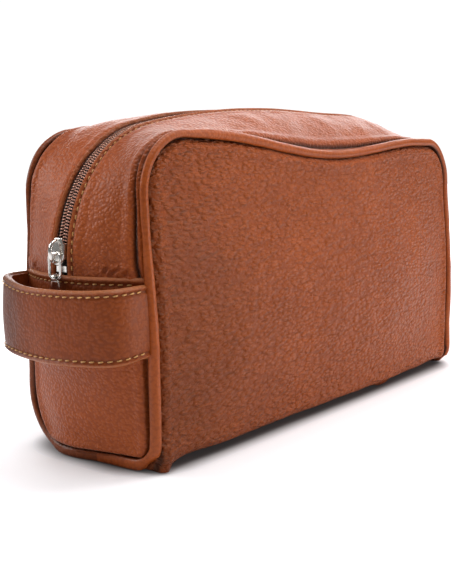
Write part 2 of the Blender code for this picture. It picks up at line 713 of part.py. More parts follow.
# ---------------------------------------------------------------- assembly
def build():
    clear_scene()
    panel("front_panel", -1, SEAM_INSET, 0.0, LEATHER, FOOT_LAP, COGNAC, 0.5)
    panel("back_panel", 1, SEAM_INSET, 0.0, LEATHER, BACK_FOOT_LAP, COGNAC, 0.5)
    inner = LEATHER + LAYER_GAP
    panel("lining_front", -1, LINING_INSET, inner, LINING, 0.0, CLOTH, 0.9, 4)
    panel("lining_back", 1, LINING_INSET, inner, LINING, 0.0, CLOTH, 0.9, 4)

    base_low = -(HALF_D - FRONT_FOOT_RADIUS - BASE_MARGIN)
    base_high = HALF_D - BACK_FOOT_RADIUS - 0.0005
    flat = (
        ("base_panel", LEATHER, base_low, base_high, LEATHER, SEAM_INSET + 0.002, COGNAC, 0.5),
        ("base_board", FOOT_RISE + LEATHER + LAYER_GAP + BOARD, base_low, base_high, BOARD,
         LINING_INSET + 0.003, (0.4, 0.33, 0.22), 0.9),
        ("lining_base", FOOT_RISE + LEATHER + 2 * LAYER_GAP + BOARD + LINING, base_low, base_high,
         LINING, LINING_INSET + 0.003, CLOTH, 0.9),
    )
    for name, top, low, high, thickness, margin, colour, roughness in flat:
        reach = HALF_L - margin
        rows = [[Vector((-reach + 2 * reach * i / 8, y, top)) for i in range(9)]
                for y in (low, (low + high) / 2, high)]
        sheet(name, rows, thickness, colour, roughness, -Z)

    for name, mirrored in (("left", False), ("right", True)):
        end_panel("end_panel_" + name, mirrored, SEAM_INSET, 0.0, LEATHER,
                  TAPE_FOOT_HEIGHT - 0.0006, COGNAC, 0.5)
        end_panel("lining_end_" + name, mirrored, LINING_INSET, inner, LINING,
                  TAPE_FOOT_HEIGHT - 0.0006, CLOTH, 0.9, 7)

    for name, side in (("front", -1), ("back", 1)):
        strip("gusset_" + name, side, ZIP_MOUTH_HALF, SEAM_INSET, 0.0, LEATHER,
              TAPE_FOOT_HEIGHT, COGNAC, 0.5, 6)
        strip("zip_tape_" + name, side, TAPE_INNER, 0.0, inner, TAPE,
              TAPE_FOOT_HEIGHT, (0.07, 0.04, 0.028), 0.85, 3, TAPE_OUTER)
        strip("lining_gusset_" + name, side, ZIP_MOUTH_HALF + 0.004, LINING_INSET,
              inner + TAPE + LAYER_GAP, LINING, TAPE_FOOT_HEIGHT, CLOTH, 0.9, 3)
        piping(name, side)
        piping_cord(name, side)
        zip_coil(name, side)
        zip_thread(name, side)
        zip_stop("zip_top_stop_" + name, False, *sorted((side * 0.0003, side * COIL_OUTER)))
    zip_stop("zip_bottom_stop", True, -COIL_OUTER, COIL_OUTER)

    # slider at the closed end, its origin on the axis of the zip's turn
    hub = bpy.data.objects.new("slider_hub", None)
    hub.location = (-TURN_X, 0, ZIP_TURN_HEIGHT)
    bpy.context.collection.objects.link(hub)
    bpy.context.view_layer.update()
    p, out, up = slider_frame()
    body, extras = slider_body()
    bridge = slider_bridge()
    for obj in [body, bridge] + extras:
        place(obj, p, out, up)
        obj.parent = hub
        obj.matrix_parent_inverse = hub.matrix_world.inverted()
    ring_rise = COIL_PROUD + 2 * LAYER_GAP + SLIDER_PLATE + BRIDGE_HEIGHT - BRIDGE_WIRE
    ring_axis = p + out * (ring_rise - RING_WIRE - LAYER_GAP - 0.0002) - up * 0.0008
    ring = pull_ring(ring_axis)
    tab_axis = ring_axis - Z * RING_LENGTH
    tab, helpers = pull_tab(tab_axis)
    bpy.context.view_layer.update()
    for obj, parent in [(ring, hub), (tab, ring)] + [(helper, tab) for helper in helpers]:
        obj.parent = parent
        obj.matrix_parent_inverse = parent.matrix_world.inverted()

    end_band("handle_patch", False, PATCH_LOW, PATCH_WIDTH, LAYER_GAP, STRAP_LEATHER,
             SEAM_INSET + 0.0014, COGNAC, 0.5)
    end_band("zip_end_tab", True, PATCH_LOW, PATCH_WIDTH, LAYER_GAP, STRAP_LEATHER,
             SEAM_INSET + 0.0014, COGNAC, 0.5)
    strap_sheet("handle_strap", 0.0, STRAP_LEATHER, COGNAC, 0.5)
    strap_sheet("handle_strap_lining", STRAP_LEATHER + LAYER_GAP, LEATHER * 0.8, DARK_COGNAC,
                0.6, 0.0006)
    strap_thread("strap_thread_top", STRAP_LOW + STRAP_WIDTH - STRAP_THREAD_IN)
    strap_thread("strap_thread_bottom", STRAP_LOW + STRAP_THREAD_IN)
    row = ("end", PATCH_LOW + PATCH_WIDTH - STRAP_THREAD_IN, False)
    ys = [-0.026 + 0.052 * i / 14 for i in range(15)]
    lift = LAYER_GAP + STRAP_LEATHER
    thread_line("patch_thread", [(at(row, y) + normal_at(row, y) * lift, normal_at(row, y))
                                 for y in ys])

    # flat pocket on the back lining, open at its top
    rows = []
    depth = inner + LINING + LAYER_GAP
    for k in range(7):
        z = POCKET_TOP + (POCKET_LOW - POCKET_TOP) * k / 6
        reach = z - FOOT_RISE - BACK_FOOT_RADIUS
        row = []
        for i in range(9):
            x = -POCKET_LENGTH / 2 + POCKET_LENGTH * i / 8
            swell = POCKET_SWELL * math.sin(math.pi * i / 8) * math.cos(math.pi / 2 * k / 6)
            row.append(panel_point(1, x, reach, depth + LINING + swell))
        rows.append(row)
    sheet("slip_pocket", rows, LINING, CLOTH, 0.9, Y)


build()
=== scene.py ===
"""Leather shaving kit bag, modelled piece by piece over its CAD frame."""
import math

import bmesh
import bpy
from mathutils import Matrix, Vector, kdtree, noise


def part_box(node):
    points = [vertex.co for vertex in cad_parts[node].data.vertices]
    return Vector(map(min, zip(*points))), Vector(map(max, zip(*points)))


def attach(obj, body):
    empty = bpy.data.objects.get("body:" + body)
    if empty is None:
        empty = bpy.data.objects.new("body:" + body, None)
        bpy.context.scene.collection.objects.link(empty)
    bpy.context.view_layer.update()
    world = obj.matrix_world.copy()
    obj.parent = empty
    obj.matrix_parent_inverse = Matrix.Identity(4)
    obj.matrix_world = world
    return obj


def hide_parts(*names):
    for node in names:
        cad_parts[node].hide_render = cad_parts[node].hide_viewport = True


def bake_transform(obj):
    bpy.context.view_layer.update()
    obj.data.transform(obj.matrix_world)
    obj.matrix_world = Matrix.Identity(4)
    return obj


bl_info = {
    "name": "Leather Shaving Kit Bag",
    "version": (1, 0, 0),
    "blender": (4, 5, 0),
    "location": "View3D > Sidebar > Kit Bag",
    "description": "Builds a piped leather toiletry bag with a zip and a side handle",
    "category": "Add Mesh",
}

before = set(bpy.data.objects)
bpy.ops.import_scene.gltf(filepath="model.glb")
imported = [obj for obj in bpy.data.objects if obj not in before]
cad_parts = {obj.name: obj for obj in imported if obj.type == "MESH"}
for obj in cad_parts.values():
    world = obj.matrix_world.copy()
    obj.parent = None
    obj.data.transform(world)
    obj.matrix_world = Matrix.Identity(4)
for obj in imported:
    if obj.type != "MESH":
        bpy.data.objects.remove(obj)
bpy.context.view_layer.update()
MM = 0.001

# ---- the bag's lines, the same as the CAD frame's
HALF_L = 0.131
HALF_D = 0.035
SHOULDER_HEIGHT = 0.1355
SEAM_DIP = 0.0078
DIP_HALF_LENGTH = 0.095
SHOULDER_RADIUS = 0.024
FOOT_RADIUS = {-1: 0.010, 1: 0.025}
FOOT_RISE = 0.0020
PANEL_BULGE = 0.005
END_BULGE_TOP = 0.0124
END_BULGE_FOOT = 0.0020
TURN_RADIUS = 0.0573
TURN_HEIGHT = 0.0841
TURN_ANGLE = math.radians(78.0)
TURN_X = HALF_L + END_BULGE_TOP - TURN_RADIUS
TOP_X = TURN_X + TURN_RADIUS * math.cos(TURN_ANGLE)
TOP_RADIUS = TOP_X / math.cos(TURN_ANGLE)
TOP_CENTRE_Z = TURN_HEIGHT + TURN_RADIUS * math.sin(TURN_ANGLE) - TOP_RADIUS * math.sin(TURN_ANGLE)
STRIP_FOOT = 0.0640
ZIP_EDGE = 0.0036
STRIP_FAR = HALF_D - 0.0010
STITCH_IN = 0.0020
PIPING_SINK = 0.0003
SLIDER_REST = math.radians(4.7)
SIDES = (("front", -1), ("back", 1))
X, Y, Z = Vector((1, 0, 0)), Vector((0, 1, 0)), Vector((0, 0, 1))


# ================================================================ settings
def length(name, description, default, low, high):
    return bpy.props.FloatProperty(name=name, description=description, default=default,
                                   min=low, max=high, unit="LENGTH", subtype="DISTANCE",
                                   precision=5)


def colour(name, description, default):
    return bpy.props.StringProperty(name=name, description=description + ", as an sRGB hex value",
                                    default=default)


class KitBagSizes(bpy.types.PropertyGroup):
    leather: length("Leather", "Thickness of the panel leather", 0.0014, 0.0008, 0.003)
    piping_radius: length("Piping radius", "Radius of the covered piping", 0.0021, 0.001, 0.004)
    pebble: length("Pebble", "Height of one pebble of the grain", 0.0017, 0.0005, 0.005)
    stitch: length("Stitch", "Length of one stitch", 0.0020, 0.001, 0.006)
    stitch_gap: length("Stitch gap", "Gap between two stitches", 0.0014, 0.0002, 0.003)
    thread: length("Thread", "Diameter of the sewing thread", 0.00062, 0.0002, 0.0015)
    coil_pitch: length("Coil pitch", "Distance between two turns of the zip coil", 0.0013, 0.0008, 0.003)
    coil_wire: length("Coil wire", "Radius of the zip coil's filament", 0.00037, 0.0002, 0.0008)


class KitBagColours(bpy.types.PropertyGroup):
    leather: colour("Leather", "Cognac leather of the panels", "AA5220")
    # leather_deep at a tenth of its value is also the near-black colour of the painted shade that the
    # shade mark lays on the leather
    leather_deep: colour("Leather, deep", "Valleys and worn-in patches of the leather", "84390F")
    piping: colour("Piping", "Leather of the piping", "AC521C")
    handle: colour("Handle", "Leather of the handle and its patch", "8F441A")
    fold: colour("Folded edge", "Leather rubbed pale along the folded edges", "B5754C")
    thread: colour("Thread", "Waxed sewing thread", "E0A55C")
    coil: colour("Coil", "Nylon zip coil", "BC8670")
    tape: colour("Tape", "Woven zip tape", "180B06")
    lining: colour("Lining", "Woven lining", "2B2420")
    metal: colour("Metal", "Nickel plate of the slider", "E4E0DA")


# ================================================================ materials
def linear(text, scale=1.0):
    """An sRGB hex value as linear red, green and blue, each times scale, and alpha."""
    values = [int(text[i:i + 2], 16) / 255 for i in (0, 2, 4)]
    return [(v / 12.92 if v <= 0.04045 else ((v + 0.055) / 1.055) ** 2.4) * scale
            for v in values] + [1.0]


def feed(tree, made, inputs):
    """Fills a node's inputs: each with a constant, a socket, or a node's first output."""
    for key, value in inputs.items():
        if isinstance(value, bpy.types.Node):
            value = value.outputs[0]
        if isinstance(value, bpy.types.NodeSocket):
            tree.links.new(value, made.inputs[key])
        else:
            made.inputs[key].default_value = value


def node(tree, kind, inputs=None, **settings):
    """Adds a shader node with its settings and inputs."""
    made = tree.nodes.new("ShaderNode" + kind)
    for key, value in settings.items():
        setattr(made, key, value)
    feed(tree, made, inputs or {})
    return made


def new_material(name):
    mat = bpy.data.materials.new(name)
    mat.use_nodes = True
    return mat, mat.node_tree, mat.node_tree.nodes["Principled BSDF"]


def object_place(tree):
    return node(tree, "TexCoord").outputs["Object"]


def calc(tree, operation, *inputs, kind="Math"):
    """A maths node over those inputs."""
    return node(tree, kind, dict(enumerate(inputs)), operation=operation)


def cloud(tree, place, scale, detail, **more):
    """Noise over place."""
    return node(tree, "TexNoise", {"Vector": place, "Scale": scale, "Detail": detail, **more})


def mark(tree, label):
    """A value that the mesh carries at its points."""
    return node(tree, "Attribute", attribute_name=label).outputs["Fac"]


def ramp(tree, source, *stops):
    """A colour ramp over source, with stops of (place, grey or colour)."""
    made = node(tree, "ValToRGB", {"Fac": source})
    points = made.color_ramp.elements
    while len(points) < len(stops):
        points.new(0.5)
    for point, (place, value) in zip(points, stops):
        point.position = place
        point.color = value if isinstance(value, (list, tuple)) else (value, value, value, 1)
    return made


def mix(tree, share, first, second, blend="MIX"):
    made = node(tree, "Mix", {0: share, 6: first, 7: second}, data_type="RGBA", blend_type=blend)
    return made.outputs[2]


def grained_leather(name, base, pebble, depth, roughness, soft=0.0, stretch=(1.0, 1.0, 1.0),
                    cells=(0.85, 0.90, 1.05), glint=(1.0, 0.93, 0.88, 1.0), sheen=0.0):
    """Full-grain leather, drum milled so that it shrinks into pebbles, then finished with a
    satin dressing: broad cloudy tone, small pebbles with darker valleys, a soft sheen."""
    tint = bpy.context.scene.kit_bag_colours
    mat, tree, shader = new_material(name)
    rest = node(tree, "Attribute", attribute_name="rest").outputs["Vector"]
    bend = cloud(tree, rest, 220.0, 2.0)
    warp = node(tree, "VectorMath", {"Vector": bend.outputs["Color"], "Scale": 0.0012},
                operation="SCALE")
    moved = calc(tree, "ADD", rest, warp, kind="VectorMath")
    place = calc(tree, "MULTIPLY", moved, cells, kind="VectorMath")
    pebbles = node(tree, "TexVoronoi", {"Vector": place, "Scale": 1 / pebble, "Smoothness": 0.32,
                                        "Randomness": 1.0}, feature="SMOOTH_F1")
    domes = ramp(tree, pebbles.outputs["Distance"], (0.03, 1.0), (0.26, 0.84), (0.46, 0.40),
                 (0.66, 0.0))
    fine = cloud(tree, rest, 2600.0, 3.0, Roughness=0.6)
    streak = calc(tree, "MULTIPLY", place, stretch, kind="VectorMath")
    creases = cloud(tree, streak, 0.62 / pebble, 3.0, Roughness=0.55, Distortion=0.6)
    clouds = cloud(tree, rest, 22.0, 3.0, Roughness=0.55)

    # the pebbles stand up more in some zones, and less towards the far end
    zones = cloud(tree, rest, 9.0, 1.0)
    strength = ramp(tree, zones, (0.36, 0.62), (0.64, 1.0))
    part = node(tree, "SeparateXYZ", {"Vector": rest})
    along = node(tree, "MapRange", {"Value": part.outputs["X"], "From Min": -0.10,
                                    "From Max": 0.13, "To Min": 1.0, "To Max": 0.55})
    graded = calc(tree, "MULTIPLY", strength, along)
    raised = calc(tree, "MULTIPLY", domes, graded)
    creased = calc(tree, "MULTIPLY_ADD", creases, 1.5, raised)
    height = calc(tree, "MULTIPLY_ADD", fine, 0.10, creased)
    bump = node(tree, "Bump", {"Height": height, "Strength": 1.0, "Distance": depth})

    cloudy = [b * 0.62 + d * 0.38 for b, d in zip(linear(base), linear(tint.leather_deep))]
    tone = ramp(tree, clouds, (0.30, cloudy), (0.62, linear(base)))
    valley = ramp(tree, domes, (0.0, (0.55, 0.42, 0.34, 1)), (0.45, (1, 1, 1, 1)))
    mixed = mix(tree, 0.42, tone, valley, "MULTIPLY")
    worn = mix(tree, mark(tree, "wear"), mixed, linear(tint.fold))
    # painted shade: where the mesh's shade mark is high, the leather is darkened towards a tenth of its
    # deep tone
    dark = mix(tree, mark(tree, "shade"), worn, linear(tint.leather_deep, 0.10))
    rough = node(tree, "MapRange", {"Value": creases, "To Min": roughness - 0.07,
                                    "To Max": roughness + 0.10})
    feed(tree, shader, {"Base Color": dark, "Roughness": rough, "Normal": bump, "IOR": 1.42,
                        "Sheen Weight": sheen, "Sheen Roughness": 0.35,
                        "Sheen Tint": (1.0, 0.88, 0.84, 1.0), "Specular IOR Level": 0.34,
                        "Specular Tint": glint, "Coat Weight": 0.02 + soft, "Coat Roughness": 0.28})
    return mat


def waxed_thread(name, tint):
    """Bonded polyester thread, three strands twisted and waxed: fine slanting lays."""
    mat, tree, shader = new_material(name)
    lay = node(tree, "TexWave", {"Vector": object_place(tree), "Scale": 900.0, "Distortion": 1.0},
               wave_type="BANDS", bands_direction="DIAGONAL").outputs["Fac"]
    tone = ramp(tree, lay, (0.2, linear(tint, 0.6)), (0.8, linear(tint)))
    bump = node(tree, "Bump", {"Height": lay, "Strength": 0.5, "Distance": 0.0001})
    feed(tree, shader, {"Base Color": tone, "Normal": bump, "Roughness": 0.55,
                        "Sheen Weight": 0.15})
    return mat


def woven_cloth(name, tint, pitch, depth):
    """Plain-woven cloth: crossing threads drawn a little coarse so that they show."""
    mat, tree, shader = new_material(name)
    uv = node(tree, "UVMap").outputs["UV"]
    warp, weft = (node(tree, "TexWave", {"Vector": uv, "Scale": 0.314 / pitch}, wave_type="BANDS",
                       bands_direction=way).outputs["Fac"] for way in "XY")
    both = calc(tree, "MAXIMUM", warp, weft)
    slub = cloud(tree, uv, 400.0, 3.0)
    tone = ramp(tree, both, (0.2, linear(tint, 0.45)), (0.9, linear(tint)))
    mixed = mix(tree, 0.35, tone, slub.outputs["Color"], "MULTIPLY")
    bump = node(tree, "Bump", {"Height": both, "Strength": 0.8, "Distance": depth})
    feed(tree, shader, {"Base Color": mixed, "Normal": bump, "Roughness": 0.85,
                        "Sheen Weight": 0.3, "Sheen Roughness": 0.5})
    return mat


def nylon_coil(name, tint):
    """Extruded nylon filament, dyed and coiled: glossy with bright thin highlights, with painted
    shade making each turn nearly black beneath and full colour on top.
    """
    mat, tree, shader = new_material(name)
    blotch = cloud(tree, object_place(tree), 300.0, 2.0)
    # painted light and shade: the mark the coil carries, 1 on top of each turn and 0 beneath it, takes
    # the colour from nearly black to full
    mottled = calc(tree, "MULTIPLY_ADD", blotch, 0.25, mark(tree, "painted_light"))
    tone = ramp(tree, mottled, (0.55, linear(tint, 0.05)), (1.05, linear(tint)))
    feed(tree, shader, {"Base Color": tone, "Roughness": 0.24, "IOR": 1.53, "Metallic": 0.55,
                        "Coat Weight": 0.5, "Coat Roughness": 0.10})
    return mat


def nickel_plate(name, tint):
    """Die-cast zinc, tumbled and nickel plated: near-mirror with faint ripples and dull nooks."""
    mat, tree, shader = new_material(name)
    place = object_place(tree)
    waves = cloud(tree, place, 700.0, 2.0)
    stain = cloud(tree, place, 260.0, 4.0)
    rough = node(tree, "MapRange", {"Value": stain, "To Min": 0.10, "To Max": 0.26})
    bump = node(tree, "Bump", {"Height": waves, "Strength": 0.35, "Distance": 0.00006})
    feed(tree, shader, {"Base Color": linear(tint), "Metallic": 1.0, "Roughness": rough,
                        "Normal": bump})
    return mat


def pressed_board(name):
    """Pressed fibre board: flat buff with specks."""
    mat, tree, shader = new_material(name)
    specks = cloud(tree, object_place(tree), 900.0, 4.0)
    tone = ramp(tree, specks, (0.3, linear("6E5F43")), (0.7, linear("A8946C")))
    feed(tree, shader, {"Base Color": tone, "Roughness": 0.9})
    return mat


MATERIALS = {}


def finish_of(key):
    """The material of that name, made on first use."""
    pebble = bpy.context.scene.kit_bag_sizes.pebble
    tint = bpy.context.scene.kit_bag_colours
    makers = {
        "panel": lambda: grained_leather(
            "Milled cognac leather", tint.leather, pebble, 0.00190, 0.35,
            cells=(0.46, 0.90, 1.0), glint=(1.0, 0.84, 0.68, 1.0), sheen=0.04),
        "strip": lambda: grained_leather(
            "Milled cognac leather, tighter grain", tint.leather, pebble * 0.78, 0.00030, 0.42,
            sheen=0.22),
        "strap": lambda: grained_leather(
            "Smoothed cognac leather", tint.handle, pebble * 0.8, 0.00020, 0.44,
            stretch=(1.6, 1.6, 0.35)),
        "piping": lambda: grained_leather(
            "Stretched piping leather", tint.piping, pebble * 0.8, 0.00010, 0.36, 0.01),
        "thread": lambda: waxed_thread("Waxed tan thread", tint.thread),
        "tape": lambda: woven_cloth("Woven zip tape", tint.tape, 0.0007, 0.0002),
        "lining": lambda: woven_cloth("Plain-woven lining", tint.lining, 0.0008, 0.00015),
        "coil": lambda: nylon_coil("Coiled nylon filament", tint.coil),
        "board": lambda: pressed_board("Pressed fibre board"),
        "metal": lambda: nickel_plate("Nickel-plated zinc", tint.metal),}
    if key not in MATERIALS:
        MATERIALS[key] = makers[key]()
    return MATERIALS[key]


# ================================================================ the bag's surfaces
def seam_top(x):
    if abs(x) >= DIP_HALF_LENGTH:
        return SHOULDER_HEIGHT
    return SHOULDER_HEIGHT - SEAM_DIP * math.cos(math.pi * x / (2 * DIP_HALF_LENGTH)) ** 2


def zip_line(kind, t):
    if kind == "end":
        bulge = END_BULGE_FOOT + (END_BULGE_TOP - END_BULGE_FOOT) * math.sin(
            math.pi / 2 * t / TURN_HEIGHT)
        return -(HALF_L + bulge), t
    if kind == "turn":
        return -TURN_X - TURN_RADIUS * math.cos(t), TURN_HEIGHT + TURN_RADIUS * math.sin(t)
    return t, TOP_CENTRE_Z + math.sqrt(TOP_RADIUS ** 2 - t * t)


def seam_line(kind, t):
    if kind == "end":
        return -HALF_L, t
    if kind == "top":
        return t, seam_top(t)
    rise = SHOULDER_HEIGHT - SHOULDER_RADIUS - TURN_HEIGHT
    arc = SHOULDER_RADIUS * math.pi / 2
    run = HALF_L - SHOULDER_RADIUS - TOP_X
    s = t / TURN_ANGLE * (rise + arc + run)
    if s <= rise:
        return -HALF_L, TURN_HEIGHT + s
    if s <= rise + arc:
        a = (s - rise) / SHOULDER_RADIUS
        return (-HALF_L + SHOULDER_RADIUS * (1 - math.cos(a)),
                SHOULDER_HEIGHT - SHOULDER_RADIUS * (1 - math.sin(a)))
    return -HALF_L + SHOULDER_RADIUS + (s - rise - arc), SHOULDER_HEIGHT


def foot_y(side, z, inset=0.0):
    radius = FOOT_RADIUS[side]
    if z >= FOOT_RISE + radius:
        return side * (HALF_D - inset)
    reach = math.sqrt(max((radius - inset) ** 2 - (FOOT_RISE + radius - z) ** 2, 0.0))
    return side * (HALF_D - radius + reach)


def at(station, y):
    kind, t, mirrored = station
    sx, sz = seam_line(kind, t)
    zx, zz = zip_line(kind, t)
    low, high = -HALF_D, HALF_D
    if kind == "end":
        low, high = foot_y(-1, t), foot_y(1, t)
    v = max(-1.0, min(1.0, (2 * y - low - high) / (high - low)))
    f = 1 - v * v
    x = sx + (zx - sx) * f
    return Vector((-x if mirrored else x, y, sz + (zz - sz) * f))


def step_station(station, d):
    kind, t, mirrored = station
    sign = -1 if mirrored and kind != "top" else 1
    if kind == "turn":
        return kind, t + sign * d / TURN_RADIUS, mirrored
    return kind, t + sign * d, mirrored


def normal_at(station, y):
    d = 0.0004
    along = at(step_station(station, d), y) - at(step_station(station, -d), y)
    y0 = max(min(y, HALF_D - d), -HALF_D + d)
    across = at(station, y0 + d) - at(station, y0 - d)
    return along.cross(across).normalized()


END_RUN = TURN_HEIGHT - STRIP_FOOT
TURN_RUN = TURN_RADIUS * TURN_ANGLE
TOP_RUN = 2 * TOP_RADIUS * math.asin(TOP_X / TOP_RADIUS)
WHOLE_RUN = 2 * END_RUN + 2 * TURN_RUN + TOP_RUN


def station_at(s):
    """The station s metres along the zip's line from its left foot."""
    mirrored = s > WHOLE_RUN / 2
    d = WHOLE_RUN - s if mirrored else s
    if d < END_RUN:
        return "end", STRIP_FOOT + d, mirrored
    if d < END_RUN + TURN_RUN:
        return "turn", (d - END_RUN) / TURN_RADIUS, mirrored
    a = (s - WHOLE_RUN / 2) / TOP_RADIUS
    return "top", TOP_RADIUS * math.sin(a), False


def ripple(p, scale, amount):
    """Smooth unevenness of worked leather, the same on every run."""
    return noise.noise(p * scale) * amount


def ease(value):
    """A smooth step from 0 to 1."""
    value = max(0.0, min(1.0, value))
    return value * value * (3 - 2 * value)


def hump(distance, width):
    """A smooth hump, 1 at no distance and nearly gone at twice its width."""
    return math.exp(-(distance / width) ** 2)


def settle(p):
    """The stance of the filled bag: it spreads towards its foot, and the far end of its top
    stands full while that end leans in a little."""
    # it spreads in front and draws in behind, more the lower down
    low = ease((0.118 - p.z) / 0.073)
    share = min(abs(p.y) / HALF_D, 1.15) ** 1.5
    spread = (0.0036 - 0.0014 * ease(p.x / 0.10)) if p.y < 0 else -0.0017
    # the far end of the top is full, and leans back towards the middle
    full = 0.0048 * hump(p.x - 0.078, 0.034) * ease((p.z - 0.100) / 0.03)
    full *= ease((p.y + 0.030) / 0.022)
    lean = 0.0034 * ease((p.z - 0.070) / 0.045) * ease((p.x - 0.060) / 0.050)
    lean += 0.0013 * ease((p.x - 0.095) / 0.030)
    # the back of the top swells over both shoulders and dips between them
    high = ease((p.z - 0.110) / 0.020) * ease((p.y + 0.004) / 0.024)
    full += high * (0.0012 * hump(p.x + 0.108, 0.018) + 0.0040 * hump(p.x + 0.080, 0.028)
                    + 0.0011 * hump(p.x - 0.116, 0.016) - 0.0007 * hump(p.x + 0.010, 0.040))
    # the front foot's edge is square, its near corner is tucked up, and the near end's foot is
    # pushed out under the handle
    square = hump(p.z - 0.005, 0.005) * hump(p.y + 0.0315, 0.006)
    toe = hump(p.y - 0.010, 0.020) * ease((0.040 - p.z) / 0.034)
    toe *= ease((-p.x - 0.100) / 0.028)
    tuck = hump(p.z - 0.004, 0.006) * hump(p.y + 0.0330, 0.006)
    tuck *= ease((-p.x - 0.1275) / 0.003)
    # the seams at the foot stand a little off the floor
    lift = 0.0019 * math.exp(-max(p.z - 0.002, 0) / 0.007) * ease((p.z - 0.0012) / 0.0006)
    return Vector((p.x - lean - 0.0046 * toe,
                   p.y - spread * low * share - 0.0016 * square + 0.0022 * tuck,
                   p.z + full + lift * (1 - 0.7 * toe) - 0.0014 * square + 0.0022 * tuck))


# ================================================================ modelling helpers
def deselect():
    if bpy.context.object and bpy.context.object.mode != "OBJECT":
        bpy.ops.object.mode_set(mode="OBJECT")
    bpy.ops.object.select_all(action="DESELECT")


def pick(obj):
    deselect()
    obj.select_set(True)
    bpy.context.view_layer.objects.active = obj


def edit(obj, *steps):
    """Runs edit-mode operators on the whole of obj."""
    pick(obj)
    bpy.ops.object.mode_set(mode="EDIT")
    bpy.ops.mesh.select_all(action="SELECT")
    for step in steps:
        step()
    bpy.ops.object.mode_set(mode="OBJECT")


def modify(obj, kind, **settings):
    """Adds a modifier with its settings and applies it."""
    pick(obj)
    made = obj.modifiers.new(kind.title(), kind)
    for key, value in settings.items():
        setattr(made, key, value)
    bpy.ops.object.modifier_apply(modifier=made.name)


def store(obj, label, values, vector=False):
    """A point attribute that a material reads."""
    kind = "FLOAT_VECTOR" if vector else "FLOAT"
    layer = obj.data.attributes.get(label) or obj.data.attributes.new(label, kind, "POINT")
    if vector:
        layer.data.foreach_set("vector", [c for v in values for c in v])
    else:
        layer.data.foreach_set("value", values)


def complete(obj, finish, body, *nodes, angle=50.0, soft=True):
    """Material, rest position, stance, smooth shading, body and the CAD nodes obj stands for."""
    mesh = obj.data
    mesh.materials.clear()
    mesh.materials.append(finish_of(finish))
    if "rest" not in mesh.attributes:
        store(obj, "rest", [v.co.copy() for v in mesh.vertices], True)
    if soft:
        for vertex in mesh.vertices:
            vertex.co = settle(vertex.co)
    pick(obj)
    bpy.ops.object.shade_smooth_by_angle(angle=math.radians(angle))
    if body:
        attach(obj, body)
    if nodes:
        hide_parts(*nodes)
    deselect()
    return obj


def laid_grid(name, across, along, place, marks):
    """A flat grid with each point moved to place(u, v), and with the (wear, shade) that marks
    gives there."""
    deselect()
    bpy.ops.mesh.primitive_grid_add(x_subdivisions=across, y_subdivisions=along, size=1.0)
    obj = bpy.context.object
    obj.name = name
    spots = [(vertex.co.x + 0.5, vertex.co.y + 0.5) for vertex in obj.data.vertices]
    for vertex, (u, v) in zip(obj.data.vertices, spots):
        vertex.co = place(u, v)
    if marks:
        wear, shade = zip(*(marks(u, v) for u, v in spots))
        store(obj, "wear", wear)
        store(obj, "shade", shade)
    obj.data.update()
    return obj


def sheet(name, across, along, place, out, thickness, marks=None):
    """A sheet of that thickness whose outer face is a laid grid turned towards out."""
    obj = laid_grid(name, across, along, place, marks)
    mesh = obj.data
    middle = mesh.polygons[len(mesh.polygons) // 2 + across // 2]
    if middle.normal.dot(out) < 0:
        edit(obj, bpy.ops.mesh.flip_normals)
    store(obj, "rest", [v.co.copy() for v in mesh.vertices], True)
    span_u = (place(1, 0.5) - place(0, 0.5)).length
    span_v = (place(0.5, 1) - place(0.5, 0)).length
    for loop in mesh.uv_layers[0].data:
        loop.uv = (loop.uv[0] * span_u, loop.uv[1] * span_v)
    modify(obj, "SOLIDIFY", thickness=thickness, offset=-1.0, use_even_offset=True,
           use_quality_normals=True)
    return obj


def weld():
    bpy.ops.mesh.remove_doubles(threshold=1e-6)


def close_ends():
    bpy.ops.mesh.select_all(action="DESELECT")
    bpy.ops.mesh.select_non_manifold()
    bpy.ops.mesh.fill_holes(sides=0)


def face_out():
    bpy.ops.mesh.select_all(action="SELECT")
    bpy.ops.mesh.normals_make_consistent(inside=False)


def tube(name, around, along, place, marks):
    """A closed body from a grid wrapped round a section: u round it, v along it."""
    obj = laid_grid(name, around, along,
                    lambda u, v: place(u % 1.0 if u < 0.99999 else 0.0, v), marks)
    edit(obj, weld, close_ends, face_out)
    return obj


def add_object(name, data):
    obj = bpy.data.objects.new(name, data)
    bpy.context.collection.objects.link(obj)
    return obj


def from_bmesh(name, bm):
    mesh = bpy.data.meshes.new(name)
    bm.to_mesh(mesh)
    bm.free()
    return add_object(name, mesh)


def wire(name, points, radius, cyclic=False, sides=2, radii=None):
    """Round wire or cord along points: a poly curve with a bevel, made a mesh."""
    deselect()
    curve = bpy.data.curves.new(name, "CURVE")
    curve.dimensions = "3D"
    curve.bevel_depth = radius
    curve.bevel_resolution = sides
    curve.use_fill_caps = not cyclic
    spline = curve.splines.new("POLY")
    spline.points.add(len(points) - 1)
    for i, p in enumerate(points):
        spline.points[i].co = (*p, 1.0)
        if radii:
            spline.points[i].radius = radii[i]
    spline.use_cyclic_u = cyclic
    pick(add_object(name, curve))
    bpy.ops.object.convert(target="MESH")
    obj = bpy.context.object
    obj.name = name
    edit(obj, weld, face_out)
    return obj


def fixed(obj, matrix):
    """Places obj's mesh by matrix, leaving the object itself at the origin."""
    obj.data.transform(matrix)
    obj.matrix_world = Matrix.Identity(4)
    return obj


def join(name, objects):
    """Joins objects into the first of them."""
    deselect()
    for obj in objects:
        obj.select_set(True)
    bpy.context.view_layer.objects.active = objects[0]
    bpy.ops.object.join()
    objects[0].name = name
    return objects[0]


def lengths_along(points):
    """How far each point is along the line through them all."""
    lengths = [0.0]
    for a, b in zip(points, points[1:]):
        lengths.append(lengths[-1] + (b - a).length)
    return lengths


